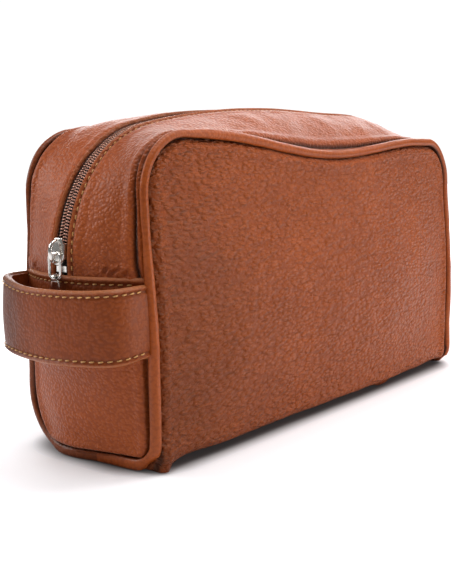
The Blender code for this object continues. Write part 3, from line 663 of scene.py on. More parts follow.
def stretch_at(lengths, k, goal):
    """The stretch of the line that holds goal, searched from stretch k on, and the share of
    that stretch before goal."""
    while k < len(lengths) - 2 and lengths[k + 1] < goal:
        k += 1
    return k, (goal - lengths[k]) / (lengths[k + 1] - lengths[k])


# ================================================================ panels
def towards_edges(u):
    """Spreads grid lines so that they crowd towards both edges."""
    return u - 0.115 * math.sin(math.tau * u)


def seam_profile(d, bead=0.0, corner=0.0):
    """(lift, shade) beside the piping at d from the seam: a tight groove, then the leather's
    round shoulder. Up beside the mouth the seam allowance makes a bead between the piping and
    the groove, which stands off where it rounds the corner."""
    groove = 0.0027 + 0.0014 * bead + 0.0020 * corner
    ridge = 0.0028 + 0.0016 * corner
    lift = -(0.0017 - 0.0006 * corner) * hump(d - groove, 0.0007 + 0.0004 * corner)
    lift += 0.0009 * hump(d - groove - 0.0028, 0.0019)
    lift += 0.0014 * bead * hump(d - ridge, 0.0010)
    lift -= 0.0010 * hump(d, 0.0015)
    # painted shade in the groove beside the piping, and in the hollow behind the corner's bead
    shade = 0.97 * hump(d - groove, 0.00088 + 0.0002 * corner)
    shade += 0.85 * corner * hump(d - ridge + 0.0018, 0.0009)
    return lift, min(shade, 0.97)


# shares of a panel's grid: its straight part across, and where its foot's bend and its face start
STRAIGHT = 0.84
BEND_FROM = 0.06
FACE_FROM = 0.22


def outline_distance(x, z):
    """How far a point of the front or back panel is in from its seam."""
    cx, cz = HALF_L - SHOULDER_RADIUS, SHOULDER_HEIGHT - SHOULDER_RADIUS
    if abs(x) > cx and z > cz:
        return SHOULDER_RADIUS - math.hypot(abs(x) - cx, z - cz)
    return min(HALF_L - abs(x), seam_top(x) - z)


def panel_place(side, inset, depth):
    """Where a panel's point (u, v) lies: v runs from under the base, round the foot's bend and
    up the face, and the outline is inset from the seam and sunk by depth."""
    radius = FOOT_RADIUS[side]
    lap = 0.011 if side < 0 else 0.004
    corner = SHOULDER_RADIUS - inset

    def place(u, v):
        k = abs(2 * u - 1)
        if k < STRAIGHT:
            x = k / STRAIGHT * (HALF_L - SHOULDER_RADIUS)
            top = seam_top(x) - inset
        else:
            a = (k - STRAIGHT) / (1 - STRAIGHT) * math.pi / 2
            x = HALF_L - SHOULDER_RADIUS + corner * math.sin(a)
            top = SHOULDER_HEIGHT - SHOULDER_RADIUS + corner * math.cos(a)
        x *= 1 if u > 0.5 else -1
        square = 1.0 - 0.42 * ease((0.120 - abs(x)) / 0.03)
        if v > FACE_FROM:
            share = 1 - (1 - (v - FACE_FROM) / (1 - FACE_FROM)) ** 1.45
            y, z, out = HALF_D, FOOT_RISE + radius + share * (top - FOOT_RISE - radius), (1.0, 0.0)
        elif v > BEND_FROM:
            a = math.pi / 2 * (FACE_FROM - v) / (FACE_FROM - BEND_FROM)
            y = HALF_D - radius * (1 - math.cos(a) ** square)
            z = FOOT_RISE + radius * (1 - math.sin(a) ** square)
            out = (math.cos(a), -math.sin(a))
        else:
            y = HALF_D - radius - lap * (BEND_FROM - v) / BEND_FROM
            z, out = FOOT_RISE, (0.0, -1.0)
        share = max(0.0, min(1.0, (z - FOOT_RISE) / (SHOULDER_HEIGHT - FOOT_RISE)))
        swell = PANEL_BULGE * (1 - (abs(x) / HALF_L) ** 4) * math.sin(math.pi * share) ** 0.7
        if v <= FACE_FROM:
            swell *= max(0.0, (v - BEND_FROM) / (FACE_FROM - BEND_FROM))
        d = max(outline_distance(x, z), 0.0)
        inner = min(1.0, d / 0.022)
        p = Vector((x, side * 0.5, z))
        swell += ripple(p, 17.0, 0.0016) * inner + ripple(p, 46.0, 0.0005) * inner
        swell += ripple(Vector((x, side, z * 0.35)), 95.0, 0.0006) * math.exp(-d / 0.010)
        dip = 0.0030 * hump(d, 0.0028)
        roll = 0.0011 * hump(d - 0.0058, 0.0024)
        if v <= 0.10:
            swell, dip, roll = 0.0, dip * (v / 0.10), 0.0
        swell += roll - dip
        if side < 0:
            ear = hump(x + 0.1300, 0.0125) * ease((0.020 - z) / 0.016)
            y += 0.0030 * ear
            z -= 0.0034 * ear + 0.0007 * ease((0.016 - z) / 0.012)
        y += out[0] * (swell - depth)
        z += out[1] * (swell - depth)
        return Vector((x, side * y, max(z, 0.0009)))
    return place


def panel_painted_shade(place):
    """Painted shade: a dark line in the groove beside the piping, and the leather darkened
    towards the near end and its foot.
    """
    def marks(u, v):
        p = place(u, v)
        d = max(outline_distance(p.x, p.z), 0.0)
        # painted shade, darkest low down at the near end by the handle
        painted_shade_near_end = 0.38 * hump(p.x + 0.128, 0.055) * ease((0.150 - p.z) / 0.12)
        return 0.0, max(0.985 * hump(d - 0.0020, 0.0010), painted_shade_near_end)
    return marks


class KITBAG_OT_panels(bpy.types.Operator):
    """Front and back panels rolling under the bag, and the base between them."""
    bl_idname = "kitbag.panels"
    bl_label = "Panels and base"

    def execute(self, context):
        t = context.scene.kit_bag_sizes.leather
        for name, side in SIDES:
            place = panel_place(side, 0.0012, 0.0)
            obj = sheet(name + "_panel_leather", 190, 130, place, Y * side, t, panel_painted_shade(place))
            complete(obj, "panel", "bag", name + "_panel")
            lining = panel_place(side, 0.0064, 0.0019)
            obj = sheet("lining_" + name + "_cloth", 60, 40, lining, Y * side, 0.0004)
            complete(obj, "lining", "bag", "lining_" + name)

        long, deep, front = 0.2550, 0.0430, -0.0325

        def base(u, v):
            x, y = long * (u - 0.5), front + deep * v
            edge = min(long / 2 - abs(x), y - front, front + deep - y)
            lift = 0.0040 * max(0.0, 1 - edge / 0.014) ** 1.5
            return Vector((x, y, lift))

        def base_painted_shade(u, v):
            # painted shade on the underside, darkening towards the edges where the base curls up under
            # the bag
            edge = min(long * min(u, 1 - u), deep * min(v, 1 - v))
            return 0.0, 0.85 * math.exp(-edge / 0.010)
        obj = sheet("base_leather", 110, 34, base, -Z, t, base_painted_shade)
        complete(obj, "panel", "bag", "base_panel", soft=False)

        low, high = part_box("lining_base")
        obj = sheet("lining_base_cloth", 60, 14,
                    lambda u, v: Vector((low[0] + (high[0] - low[0]) * u,
                                         low[1] + (high[1] - low[1]) * v, high[2])), Z, 0.0004)
        complete(obj, "lining", "bag", "lining_base")

        low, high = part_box("slip_pocket")

        def pocket(u, v):
            z = low[2] + (high[2] - low[2]) * v
            x = low[0] + (high[0] - low[0]) * u
            share = (z - FOOT_RISE) / (SHOULDER_HEIGHT - FOOT_RISE)
            y = HALF_D + PANEL_BULGE * (1 - (abs(x) / HALF_L) ** 4) * math.sin(
                math.pi * share) ** 0.9 - 0.0029
            y -= 0.0030 * math.sin(math.pi * u) * math.sin(math.pi / 2 * v) + 0.0004
            return Vector((x, y, z))
        obj = sheet("slip_pocket_cloth", 40, 24, pocket, -Y, 0.0005)
        complete(obj, "lining", "bag", "slip_pocket")
        return {"FINISHED"}


# ================================================================ ends and zip strips
def end_distance(p):
    """How far a point of an end panel is in from its seams."""
    return max(min(p.y - foot_y(-1, p.z), foot_y(1, p.z) - p.y, (p.z - FOOT_RISE) * 1.15), 0.0)


def end_place(mirrored, inset, depth, top):
    """Where an end panel's point (u, v) lies, from its foot up to top."""
    def place(u, v):
        z0 = FOOT_RISE + inset
        z = z0 + (top - z0) * v ** 1.5
        station = ("end", z, mirrored)
        low, high = foot_y(-1, z, inset), foot_y(1, z, inset)
        y = low + (high - low) * towards_edges(u)
        p = at(station, y)
        d = end_distance(Vector((p.x, y, z)))
        lift = ripple(p, 30.0, 0.0012) * min(1.0, d / 0.015)
        lift += ripple(p, 85.0, 0.0004) * min(1.0, d / 0.010)
        lift += seam_profile(d)[0]
        return p + normal_at(station, y) * (lift - depth)
    return place


def strip_y(side, near, far, u):
    """The y of share u of a strip from near the zip to far beside the seam."""
    return side * (near + (far - near) * u)


def seam_state(station, y):
    """(distance from the seam along the leather, bead, corner) at a place on a strip."""
    kind, t, _ = station
    if y > 0:
        return HALF_D - y + 0.0012, 0.0, 0.0
    if kind == "end":
        return HALF_D - abs(y), 0.7 * ease((t - 0.074) / 0.012), 0.0
    if kind == "top":
        return (HALF_D - abs(y)) * 1.15, 0.35, 0.0
    corner = hump(t - 0.80, 0.27)
    stretch = 1.0 + 0.15 * ease(t / 0.5)
    return (HALF_D - abs(y)) * stretch, 0.7 + 0.3 * corner - 0.35 * ease((t - 1.0) / 0.36), corner


def flat_strip_place(side, near, far, depth):
    """Where a point of a strip's lining or tape lies, depth below the leather's face."""
    def place(u, v):
        station = station_at(WHOLE_RUN * v)
        y = strip_y(side, near, far, u)
        return at(station, y) - normal_at(station, y) * depth
    return place


def strip_place(side):
    """Where a point of the leather beside the zip lies, folded at the zip and piped at the seam."""
    def place(u, v):
        station = station_at(WHOLE_RUN * v)
        y = strip_y(side, ZIP_EDGE, STRIP_FAR, towards_edges(u))
        p = at(station, y)
        in_zip = abs(y) - ZIP_EDGE
        in_seam, bead, corner = seam_state(station, y)
        q = Vector((p.x, side * 0.4 + p.y, p.z))
        free = min(1.0, in_seam / 0.014) * min(1.0, in_zip / 0.010)
        lift = ripple(q, 34.0, 0.0013) * free + ripple(q, 90.0, 0.0005) * free
        lift += ripple(Vector((p.x, side, p.z)), 120.0, 0.0006) * math.exp(-in_seam / 0.007)
        # creases gathered above the handle's roots
        gather = hump(p.z - 0.088, 0.011) * hump(in_seam - 0.011, 0.007)
        if station[0] == "end" and not station[2]:
            crease = noise.noise(Vector((y * 330 + p.z * 210, p.z * 160 - y * 90, 3.0)))
            lift += 0.0014 * gather * (1 - 2.4 * abs(crease))
        # folded edge: a soft roll beside the zip, drawn in along its stitches
        lift += 0.0012 * hump(in_zip - 0.0008, 0.0007)
        lift -= 0.0009 * hump(in_zip, 0.0004)
        lift -= 0.0005 * hump(in_zip - STITCH_IN, 0.0006)
        lift += 0.0005 * hump(in_zip - 0.0044, 0.0020)
        lift += seam_profile(in_seam, bead, corner)[0]
        return p + normal_at(station, y) * lift
    return place


def strip_wear_and_painted_shade(side):
    """The pale folded edge, which is wear, and painted shade: dark lines beside the fold, under
    the stitches and at the seam, and a darker band on the front strip at the near end.
    """
    def marks(u, v):
        station = station_at(WHOLE_RUN * v)
        y = strip_y(side, ZIP_EDGE, STRIP_FAR, towards_edges(u))
        in_seam, bead, corner = seam_state(station, y)
        y = abs(y)
        wear = 0.35 * hump(y - ZIP_EDGE - 0.0007, 0.0007)
        # painted shade in the seam's groove, under the stitches and where the fold meets the zip
        shade = seam_profile(in_seam, bead, corner)[1]
        shade += 0.35 * hump(y - ZIP_EDGE - STITCH_IN, 0.0004)
        shade += 0.8 * hump(y - ZIP_EDGE, 0.0003)
        # painted shade: a darker band on the front strip at the near end
        if side < 0 and not station[2] and station[0] != "top":
            shade += 0.15 * hump(y - 0.021, 0.009)
        return wear, min(shade, 0.95)
    return marks


class KITBAG_OT_ends(bpy.types.Operator):
    """End panels, the two strips beside the zip, and their linings."""
    bl_idname = "kitbag.ends"
    bl_label = "Ends and top"

    def execute(self, context):
        t = context.scene.kit_bag_sizes.leather
        for name, mirrored in (("left", False), ("right", True)):
            out = X if mirrored else -X
            place = end_place(mirrored, 0.0012, 0.0, STRIP_FOOT + 0.001)

            # painted shade in the groove beside the piping
            def marks(u, v, place=place):
                return 0.0, seam_profile(end_distance(place(u, v)))[1]
            obj = sheet("end_leather_" + name, 90, 80, place, out, t, marks)
            complete(obj, "strip", "bag", "end_panel_" + name)
            obj = sheet("lining_end_cloth_" + name, 24, 24,
                        end_place(mirrored, 0.0064, 0.0030, STRIP_FOOT), out, 0.0004)
            complete(obj, "lining", "bag", "lining_end_" + name)
        for name, side in SIDES:
            flap = name + "_flap"
            obj = sheet("zip_strip_leather_" + name, 84, 380,
                        strip_place(side), Z, t, strip_wear_and_painted_shade(side))
            complete(obj, "strip", None, "gusset_" + name)
            bend(obj, flap)
            obj = sheet("lining_strip_cloth_" + name, 8, 120,
                        flat_strip_place(side, ZIP_EDGE + 0.004, HALF_D - 0.0048, 0.0028), Z,
                        0.0004)
            complete(obj, "lining", None, "lining_gusset_" + name)
            bend(obj, flap)
        return {"FINISHED"}


def bend(obj, flap):
    """Bakes the piece's placement into its mesh."""
    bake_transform(obj)


# ================================================================ piping
def seam_route(side):
    """Points of one seam, evenly spaced: (point, outward diagonal)."""
    step = 0.0022
    radius = FOOT_RADIUS[side]
    split = (FOOT_RADIUS[1] - FOOT_RADIUS[-1]) / -2
    flat = HALF_D - radius
    left = []
    count = max(2, int(abs(side * flat - split) / step))
    for i in range(count):
        left.append((Vector((-HALF_L, split + (side * flat - split) * i / count, FOOT_RISE)),
                     (-X - Z).normalized()))
    arcs = int(radius * math.pi / 2 / step)
    for i in range(arcs):
        a = math.pi / 2 * i / arcs
        y = flat + radius * math.sin(a)
        z = FOOT_RISE + radius * (1 - math.cos(a))
        away = Vector((0, side * math.sin(a), -math.cos(a)))
        left.append((Vector((-HALF_L, side * y, z)), (away - X).normalized()))
    spots = []
    low = FOOT_RISE + radius
    rise = int((TURN_HEIGHT - low) / step)
    spots += [("end", low + (TURN_HEIGHT - low) * i / rise, False) for i in range(rise)]
    spots += [("turn", TURN_ANGLE * i / 38, False) for i in range(38)]
    middle = [("top", -TOP_X + 2 * TOP_X * i / 90, False) for i in range(91)]

    def with_out(station):
        """The seam's point there and the diagonal between its two leathers."""
        p = at(station, side * HALF_D)
        ahead = (at(step_station(station, 0.0003), side * HALF_D)
                 - at(step_station(station, -0.0003), side * HALF_D)).normalized()
        top_way = at(station, side * (HALF_D - 0.0006)) - p
        top_way = (top_way - ahead * top_way.dot(ahead)).normalized()
        out = -(Y.cross(ahead).normalized() + top_way)
        return p, out.normalized()
    left += [with_out(spot) for spot in spots]
    top = [with_out(spot) for spot in middle]
    right = [(Vector((-p.x, p.y, p.z)), Vector((-o.x, o.y, o.z))) for p, o in reversed(left)]
    return left + top + right


class KITBAG_OT_piping(bpy.types.Operator):
    """Covered piping round the front and back seams, with painted shade on its inner half and,
    at the near end, on the back piping.
    """
    bl_idname = "kitbag.piping"
    bl_label = "Piping"

    def execute(self, context):
        radius = context.scene.kit_bag_sizes.piping_radius
        for name, side in SIDES:
            route = seam_route(side)
            points, radii = [], []
            for i, (p, out) in enumerate(route):
                wobble = out * ripple(p, 60.0, 0.0004)
                points.append(p - out * PIPING_SINK + wobble)
                thin = ease((p.z - 0.070) / 0.025) * ease((-p.x - 0.085) / 0.025)
                radii.append(1.06 - 0.24 * thin + 0.05 * noise.noise(p * 140.0))
            obj = wire("piping_leather_" + name, points, radius, sides=4, radii=radii)
            store(obj, "wear", [0.05 + 0.08 * noise.noise(v.co * 50) for v in obj.data.vertices])
            # painted shade on the piping at the near end, strong on the back piping
            back_painted_shade = 0.50 if side > 0 else 0.06
            nearest = kdtree.KDTree(len(points))
            for i, p in enumerate(points):
                nearest.insert(p, i)
            nearest.balance()
            # painted shade: the piping's inner half, facing into the bag, is darkened nearly to black
            shades = []
            for v in obj.data.vertices:
                centre, i, _ = nearest.find(v.co)
                inward = (centre - v.co).dot(route[i][1]) / radius
                shades.append(max(back_painted_shade * ease((-v.co.x - 0.100) / 0.03),
                                  0.97 * ease((inward - 0.02) / 0.30)))
            store(obj, "shade", shades)
            complete(obj, "piping", "bag", "piping_" + name)
            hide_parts("piping_cord_" + name)
        return {"FINISHED"}


# ================================================================ zip
STITCH_SHAPE = ((-0.5, 0.0, -0.55), (-0.47, 0.62, -0.25), (-0.34, 0.92, 0.10), (0.0, 1.0, 0.22),
                (0.34, 0.92, 0.10), (0.47, 0.62, -0.25), (0.5, 0.0, -0.55))
STITCH_SIDES = 6
STITCH_SLANT = 0.12


def stitch_row(name, line, body, *nodes):
    """Separate stitches along a line of (point, normal), each a small sunk capsule whose shape
    is listed as shares of its length, radius and height."""
    size = bpy.context.scene.kit_bag_sizes
    lengths = lengths_along([p for p, _ in line])
    count = int(lengths[-1] / (size.stitch + size.stitch_gap))
    r = size.thread / 2
    bm = bmesh.new()
    k = 0
    for i in range(count):
        k, share = stretch_at(lengths, k, (i + 0.5) * lengths[-1] / count)
        p = line[k][0].lerp(line[k + 1][0], share)
        n = line[k][1].lerp(line[k + 1][1], share).normalized()
        ahead = (line[k + 1][0] - line[k][0]).normalized()
        ahead = (ahead + n.cross(ahead).normalized() * STITCH_SLANT).normalized()
        side = n.cross(ahead).normalized()
        rings = []
        for along, wide, lift in STITCH_SHAPE:
            c = p + ahead * (along * size.stitch) + n * (lift * r * 2)
            angles = [math.tau * j / STITCH_SIDES for j in range(STITCH_SIDES if wide else 1)]
            rings.append([bm.verts.new(c + (side * math.cos(a) + n * math.sin(a)) * r * wide)
                          for a in angles])
        for a, b in zip(rings, rings[1:]):
            for j in range(STITCH_SIDES):
                m = (j + 1) % STITCH_SIDES
                if len(a) == 1:
                    bm.faces.new((a[0], b[m], b[j]))
                elif len(b) == 1:
                    bm.faces.new((a[j], a[m], b[0]))
                else:
                    bm.faces.new((a[j], a[m], b[m], b[j]))
    bmesh.ops.recalc_face_normals(bm, faces=list(bm.faces))
    return complete(from_bmesh(name, bm), "thread", body, *nodes, angle=80.0)


class KITBAG_OT_zip(bpy.types.Operator):
    """Zip tape, the two interlocked coils and the sewing beside them."""
    bl_idname = "kitbag.zip"
    bl_label = "Zip"

    def execute(self, context):
        size = context.scene.kit_bag_sizes
        start = END_RUN + TURN_RADIUS * SLIDER_REST - 0.0010
        finish = WHOLE_RUN - END_RUN + 0.0008
        for name, side in SIDES:
            flap = name + "_flap"
            obj = sheet("zip_tape_cloth_" + name, 12, 220,
                        flat_strip_place(side, 0.0006, 0.0105, 0.0015), Z, 0.0006)
            complete(obj, "tape", None, "zip_tape_" + name)
            bend(obj, flap)

            turns = int((finish - start) / size.coil_pitch)
            points, lit_shares = [], []
            for i in range(turns * 10 + 1):
                a = math.tau * i / 10 + (0 if side < 0 else math.pi)
                s = start + (finish - start) * i / (turns * 10)
                station = station_at(s)
                p, n = at(station, 0.0), normal_at(station, 0.0)
                y = side * (1.14 * MM + 1.14 * MM * math.cos(a))
                points.append(p + Y * y + n * (-0.85 * MM + 0.88 * MM * math.sin(a)))
                # painted light and shade: each turn's top is marked bright and its underside dark
                lit_shares.append(0.5 + 0.5 * math.sin(a))
            obj = wire("zip_coil_filament_" + name, points, size.coil_wire, sides=1)
            ring = len(obj.data.vertices) // len(points)
            store(obj, "painted_light", [lit_shares[min(v.index // ring, len(lit_shares) - 1)]
                                 for v in obj.data.vertices])
            complete(obj, "coil", None, "zip_coil_" + name, angle=80.0)
            bend(obj, flap)

            line = []
            for i in range(260):
                station = station_at(start + (finish - start) * i / 259)
                p, n = at(station, 0.0), normal_at(station, 0.0)
                lift = 0.08 + 0.05 * math.sin(i * 2.1)
                line.append(p + Y * (side * 1.62 * MM) + n * (lift * MM))
            obj = wire("zip_sewing_" + name, line, 0.12 * MM, sides=1)
            complete(obj, "tape", None, angle=80.0)
            bend(obj, flap)

            place = strip_place(side)
            goal = STITCH_IN / (STRIP_FAR - ZIP_EDGE)
            u = min((i / 4000 for i in range(1500)), key=lambda k: abs(towards_edges(k) - goal))
            line = []
            low = (0.0806 - STRIP_FOOT) / WHOLE_RUN
            for i in range(420):
                v = low + (1 - 2 * low) * i / 419
                n = normal_at(station_at(WHOLE_RUN * v), side * (ZIP_EDGE + STITCH_IN))
                line.append((place(u, v) + n * 0.00030, n))
            obj = stitch_row("zip_stitches_" + name, line, None, "zip_thread_" + name)
            bend(obj, flap)
        for name, key in (("zip_top_stop_front", "metal"), ("zip_top_stop_back", "metal"),
                          ("zip_bottom_stop", "metal"), ("base_board", "board")):
            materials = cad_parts[name].data.materials
            materials.clear()
            materials.append(finish_of(key))
        return {"FINISHED"}


# ================================================================ slider and puller
def slider_matrix():
    """The slider's place on the zip: its own x runs up along the zip, and z outwards."""
    station = ("turn", SLIDER_REST, False)
    out = normal_at(station, 0.0)
    up = Y.cross(out).normalized()
    side = out.cross(up).normalized()
    turn = Matrix((up, side, out)).transposed().to_4x4()
    return Matrix.Translation(at(station, 0.0)) @ turn


def plate(name, outline, low, high, bevel):
    """A flat piece cut to an outline, extruded from a filled face and softly rounded."""
    bm = bmesh.new()
    bm.faces.new([bm.verts.new((x * MM, y * MM, low * MM)) for x, y in outline])
    obj = from_bmesh(name, bm)
    edit(obj, lambda: bpy.ops.mesh.extrude_region_move(
        TRANSFORM_OT_translate={"value": (0, 0, high * MM - low * MM)}), face_out)
    modify(obj, "BEVEL", width=bevel * MM, segments=3, limit_method="ANGLE",
           angle_limit=math.radians(40))
    return obj


class KITBAG_OT_slider(bpy.types.Operator):
    """Slider body, crown, ring and puller."""
    bl_idname = "kitbag.slider"
    bl_label = "Slider and puller"

    def execute(self, context):
        # measures here are millimetres, in the slider's own directions
        matrix = slider_matrix()
        half_l, half_w = 5.5, 3.7
        shape = [(-1.0, 0.50), (-0.86, 0.72), (-0.55, 0.98), (-0.1, 1.0), (0.35, 0.90),
                 (0.72, 0.74), (0.95, 0.62), (1.0, 0.45)]
        outline = [(x * half_l, y * half_w) for x, y in shape]
        outline += [(x, -y) for x, y in reversed(outline)]
        top = plate("slider_plate", outline, 1.35, 2.35, 0.42)
        under = [(x * 0.9, y * 0.8) for x, y in outline]
        bottom = plate("slider_under", under, -4.1, -3.0, 0.3)
        post = plate("slider_post", [(-4.8, -0.3), (-2.4, -0.5), (-2.4, 0.5), (-4.8, 0.3)],
                     -3.4, 1.6, 0.12)
        lips = []
        for side in (-1, 1):
            lip = [(-3.4, 2.95), (-3.0, 3.55), (1.5, 3.5), (3.0, 3.3), (3.0, 2.85), (-0.5, 2.95)]
            lip = [(x, side * y) for x, y in lip]
            lips.append(plate("slider_lip", lip[::side], -1.2, 1.7, 0.2))
        body = join("slider_body_metal", [top, bottom, post] + lips)
        fixed(body, matrix)
        complete(body, "metal", "slider", "slider_body", angle=35.0, soft=False)

        # crown: an arch of half-round bar, thickest at its middle, with flat feet
        base, reach, height = 2.2, 4.3, 4.3
        pts, radii = [], []
        for i in range(25):
            a = math.pi * i / 24
            pts.append(Vector((-reach * math.cos(a) * MM, 0,
                               (base + (height - 0.6) * math.sin(a) ** 0.65) * MM)))
            radii.append(0.95 + 0.20 * math.sin(a))
        arch = wire("slider_crown", pts, 0.60 * MM, sides=3, radii=radii)
        for vertex in arch.data.vertices:
            vertex.co.y *= 1.35
        fixed(arch, matrix)
        complete(arch, "metal", "slider", "slider_bridge", angle=60.0, soft=False)

        low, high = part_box("pull_ring")
        axis = Vector(((low[0] + high[0]) / 2, 0, high[2] - 0.65 * MM))
        half_w, corner, tall = 3.3, 1.7, 9.8
        pts = []
        for y, z, q in ((half_w - corner, -corner, 0), (-half_w + corner, -corner, 1),
                        (-half_w + corner, corner - tall, 2), (half_w - corner, corner - tall, 3)):
            for k in range(9):
                a = math.pi / 2 * (q + k / 8)
                pts.append(axis + Vector((0, (y + corner * math.cos(a)) * MM,
                                          (z + corner * math.sin(a)) * MM)))
        ring = wire("pull_ring_wire", pts, 0.62 * MM, cyclic=True, sides=3)
        complete(ring, "metal", "ring", "pull_ring", angle=60.0, soft=False)

        # puller: a flat blade with a raised rim, curled round the ring at its top
        eye = axis - Z * (tall * MM)
        half, end = 2.7, 14.8
        outline = [(1.7, -1.0), (2.45, -1.7), (half, -2.8)]
        for i in range(13):
            a = -math.pi * i / 12
            outline.append((half * math.cos(a) * (0.86 if 0 < i < 12 else 0.95),
                            -end + half + half * math.sin(a)))
        outline += [(-half, -2.8), (-2.45, -1.7), (-1.7, -1.0)]
        blade = plate("pull_blade", outline, -0.5, 0.5, 0.28)
        pick(blade)
        bpy.ops.object.mode_set(mode="EDIT")
        bm = bmesh.from_edit_mesh(blade.data)
        for face in bm.faces:
            face.select = abs(face.normal.z) > 0.95 and face.calc_area() > 2e-5
        bmesh.update_edit_mesh(blade.data)
        bpy.ops.mesh.inset(thickness=0.55 * MM, depth=-0.22 * MM)
        bpy.ops.object.mode_set(mode="OBJECT")
        upright = Matrix(((0, 0, -1, 0), (-1, 0, 0, 0), (0, 1, 0, 0), (0, 0, 0, 1)))
        fixed(blade, Matrix.Translation(eye) @ upright)
        deselect()
        bpy.ops.mesh.primitive_torus_add(major_radius=1.28 * MM, minor_radius=0.36 * MM,
                                         major_segments=28, minor_segments=10, location=eye,
                                         rotation=(math.pi / 2, 0, 0))
        knuckle = bpy.context.object
        for vertex in knuckle.data.vertices:
            vertex.co.z *= 3.4
        bpy.ops.object.transform_apply(location=True, rotation=True, scale=True)
        tab = join("pull_tab_metal", [blade, knuckle])
        complete(tab, "metal", "tab", "pull_tab", angle=40.0, soft=False)
        return {"FINISHED"}


# ================================================================ handle
STRAP_REACH = 0.0256
STRAP_THICK = 0.0026


def loop_path(count):
    """The loop seen from above, in count even steps: (point, outward normal)."""
    dense = []
    for i in range(1, 2400):
        t = math.pi * i / 2400
        x = -HALF_L - STRAP_REACH * math.sin(t) ** 0.48
        if x < -HALF_L - 0.0005:
            dense.append(Vector((x, -HALF_D * math.cos(t), 0)))
    lengths = lengths_along(dense)
    points, k = [], 0
    for i in range(count + 1):
        k, share = stretch_at(lengths, k, lengths[-1] * i / count)
        points.append(dense[k].lerp(dense[k + 1], share))
    made = []
    for i, p in enumerate(points):
        ahead = (points[min(i + 1, count)] - points[max(i - 1, 0)]).normalized()
        made.append((p, -ahead.cross(Z).normalized()))
    return made


def band_section(u, height, thick, crown, groove):
    """Section of a strap with turned edges: (outward, up) for u round it, and its distance
    from the nearer long edge."""
    r = thick / 2
    straight = height - 2 * r
    around = 2 * straight + math.tau * r
    s = (u % 1.0) * around
    if s < straight:
        z = -straight / 2 + s
        edge = height / 2 - abs(z)
        out = r + crown * math.cos(math.pi * z / height) ** 2
        out -= groove * hump(edge - 0.0026, 0.0007)
        out += groove * 0.8 * hump(edge - 0.0012, 0.0008)
        return out, z, edge
    s -= straight
    if s < math.pi * r:
        a = math.pi / 2 - s / r
        return r * math.sin(a), straight / 2 + r * math.cos(a), 0.0
    s -= math.pi * r
    if s < straight:
        z = straight / 2 - s
        return -r, z, height / 2 - abs(z)
    s -= straight
    a = -math.pi / 2 - s / r
    return r * math.sin(a), -straight / 2 + r * math.cos(a), 0.0


class KITBAG_OT_handle(bpy.types.Operator):
    """The loop handle, the patch behind it, the tab at the far end and their stitches."""
    bl_idname = "kitbag.handle"
    bl_label = "Handle"

    def execute(self, context):
        low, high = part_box("handle_strap")
        height = high[2] - low[2]
        middle = (high[2] + low[2]) / 2
        count = 90
        path = loop_path(count)

        def edge_shift(v, share):
            """How far the worn loop's edges have moved: share is -1 low, 1 high."""
            top = -0.0006 - 0.0016 * ease(v / 0.40) + 0.0028 * ease((v - 0.55) / 0.30)
            foot = 0.0023 * hump(v - 0.01, 0.13) - 0.0008 * hump(v - 0.5, 0.15)
            return foot + (top - foot) * (share + 1) / 2

        def strap(u, v, inset=0.0, tall=height, thick=STRAP_THICK, crown=0.0003, groove=0.0004):
            p, out = path[round(v * count)]
            o, z, _ = band_section(u, tall, thick, crown, groove)
            sag = 0.0007 * math.sin(math.pi * v) * noise.noise(Vector((v * 7, z * 60, 1.3)))
            z += edge_shift(v, 2 * z / tall)
            return p + out * (o - thick / 2 - inset + sag) + Z * (middle + z)

        def marks(u, v):
            _, _, edge = band_section(u, height, STRAP_THICK, 0.0, 0.0)
            wear = 0.55 * hump(edge, 0.0008)
            # painted shade: a dark line along each row of stitches, and the loop darkened over its back
            # half
            return wear, max(0.30 * hump(edge - 0.0026, 0.0006), 0.55 * ease((v - 0.50) / 0.22))
        obj = tube("handle_strap_leather", 96, count, strap, marks)
        complete(obj, "strap", "bag", "handle_strap", angle=60.0)
        obj = tube("handle_backing_leather", 48, count,
                   lambda u, v: strap(u, v, 0.00245, height - 0.0012, 0.0010, 0.0, 0.0),
                   lambda u, v: (0.0, 0.15))
        complete(obj, "strap", "bag", "handle_strap_lining", angle=60.0)

        for name, z, share in (("top", high[2] - 0.0026, 1), ("bottom", low[2] + 0.0026, -1)):
            line = [(p + out * 0.00005 + Z * (z + edge_shift(i / count, share * 0.83)), out)
                    for i, (p, out) in enumerate(path)][3:-5]
            stitch_row("handle_stitches_" + name, line, "bag", "strap_thread_" + name)

        z0, z1, wide = 0.0475, 0.0795, 0.067
        for node_name, mirrored in (("handle_patch", False), ("zip_end_tab", True)):
            def patch(u, v, mirrored=mirrored):
                z = z0 + (z1 - z0) * v
                y = wide * (u - 0.5)
                station = ("end", z, mirrored)
                edge = min(z1 - z, z - z0)
                lift = 0.0016 - 0.0010 * hump(edge, 0.0005)
                lift += 0.0003 * hump(edge - 0.0013, 0.0008)
                lift -= 0.0003 * hump(edge - 0.0028, 0.0008)
                p = at(station, y)
                lift += ripple(p, 60.0, 0.0005)
                side = min(u, 1 - u) * wide
                lift -= 0.0012 * hump(side, 0.0016)
                return p + normal_at(station, y) * lift

            def patch_marks(u, v):
                edge = min(v, 1 - v) * (z1 - z0)
                return 0.6 * hump(edge, 0.0010), 0.0
            obj = sheet(node_name + "_leather", 60, 60, patch, X if mirrored else -X, 0.0014,
                        patch_marks)
            complete(obj, "strap", "bag", node_name)
            line = []
            for i in range(60):
                u = 0.05 + 0.90 * i / 59
                n = normal_at(("end", z1 - 0.0028, mirrored), wide * (u - 0.5))
                line.append((patch(u, 1 - 0.0028 / (z1 - z0)) + n * 0.0001, n))
            replaced = () if mirrored else ("patch_thread",)
            stitch_row(node_name + "_stitches", line, "bag", *replaced)
        return {"FINISHED"}


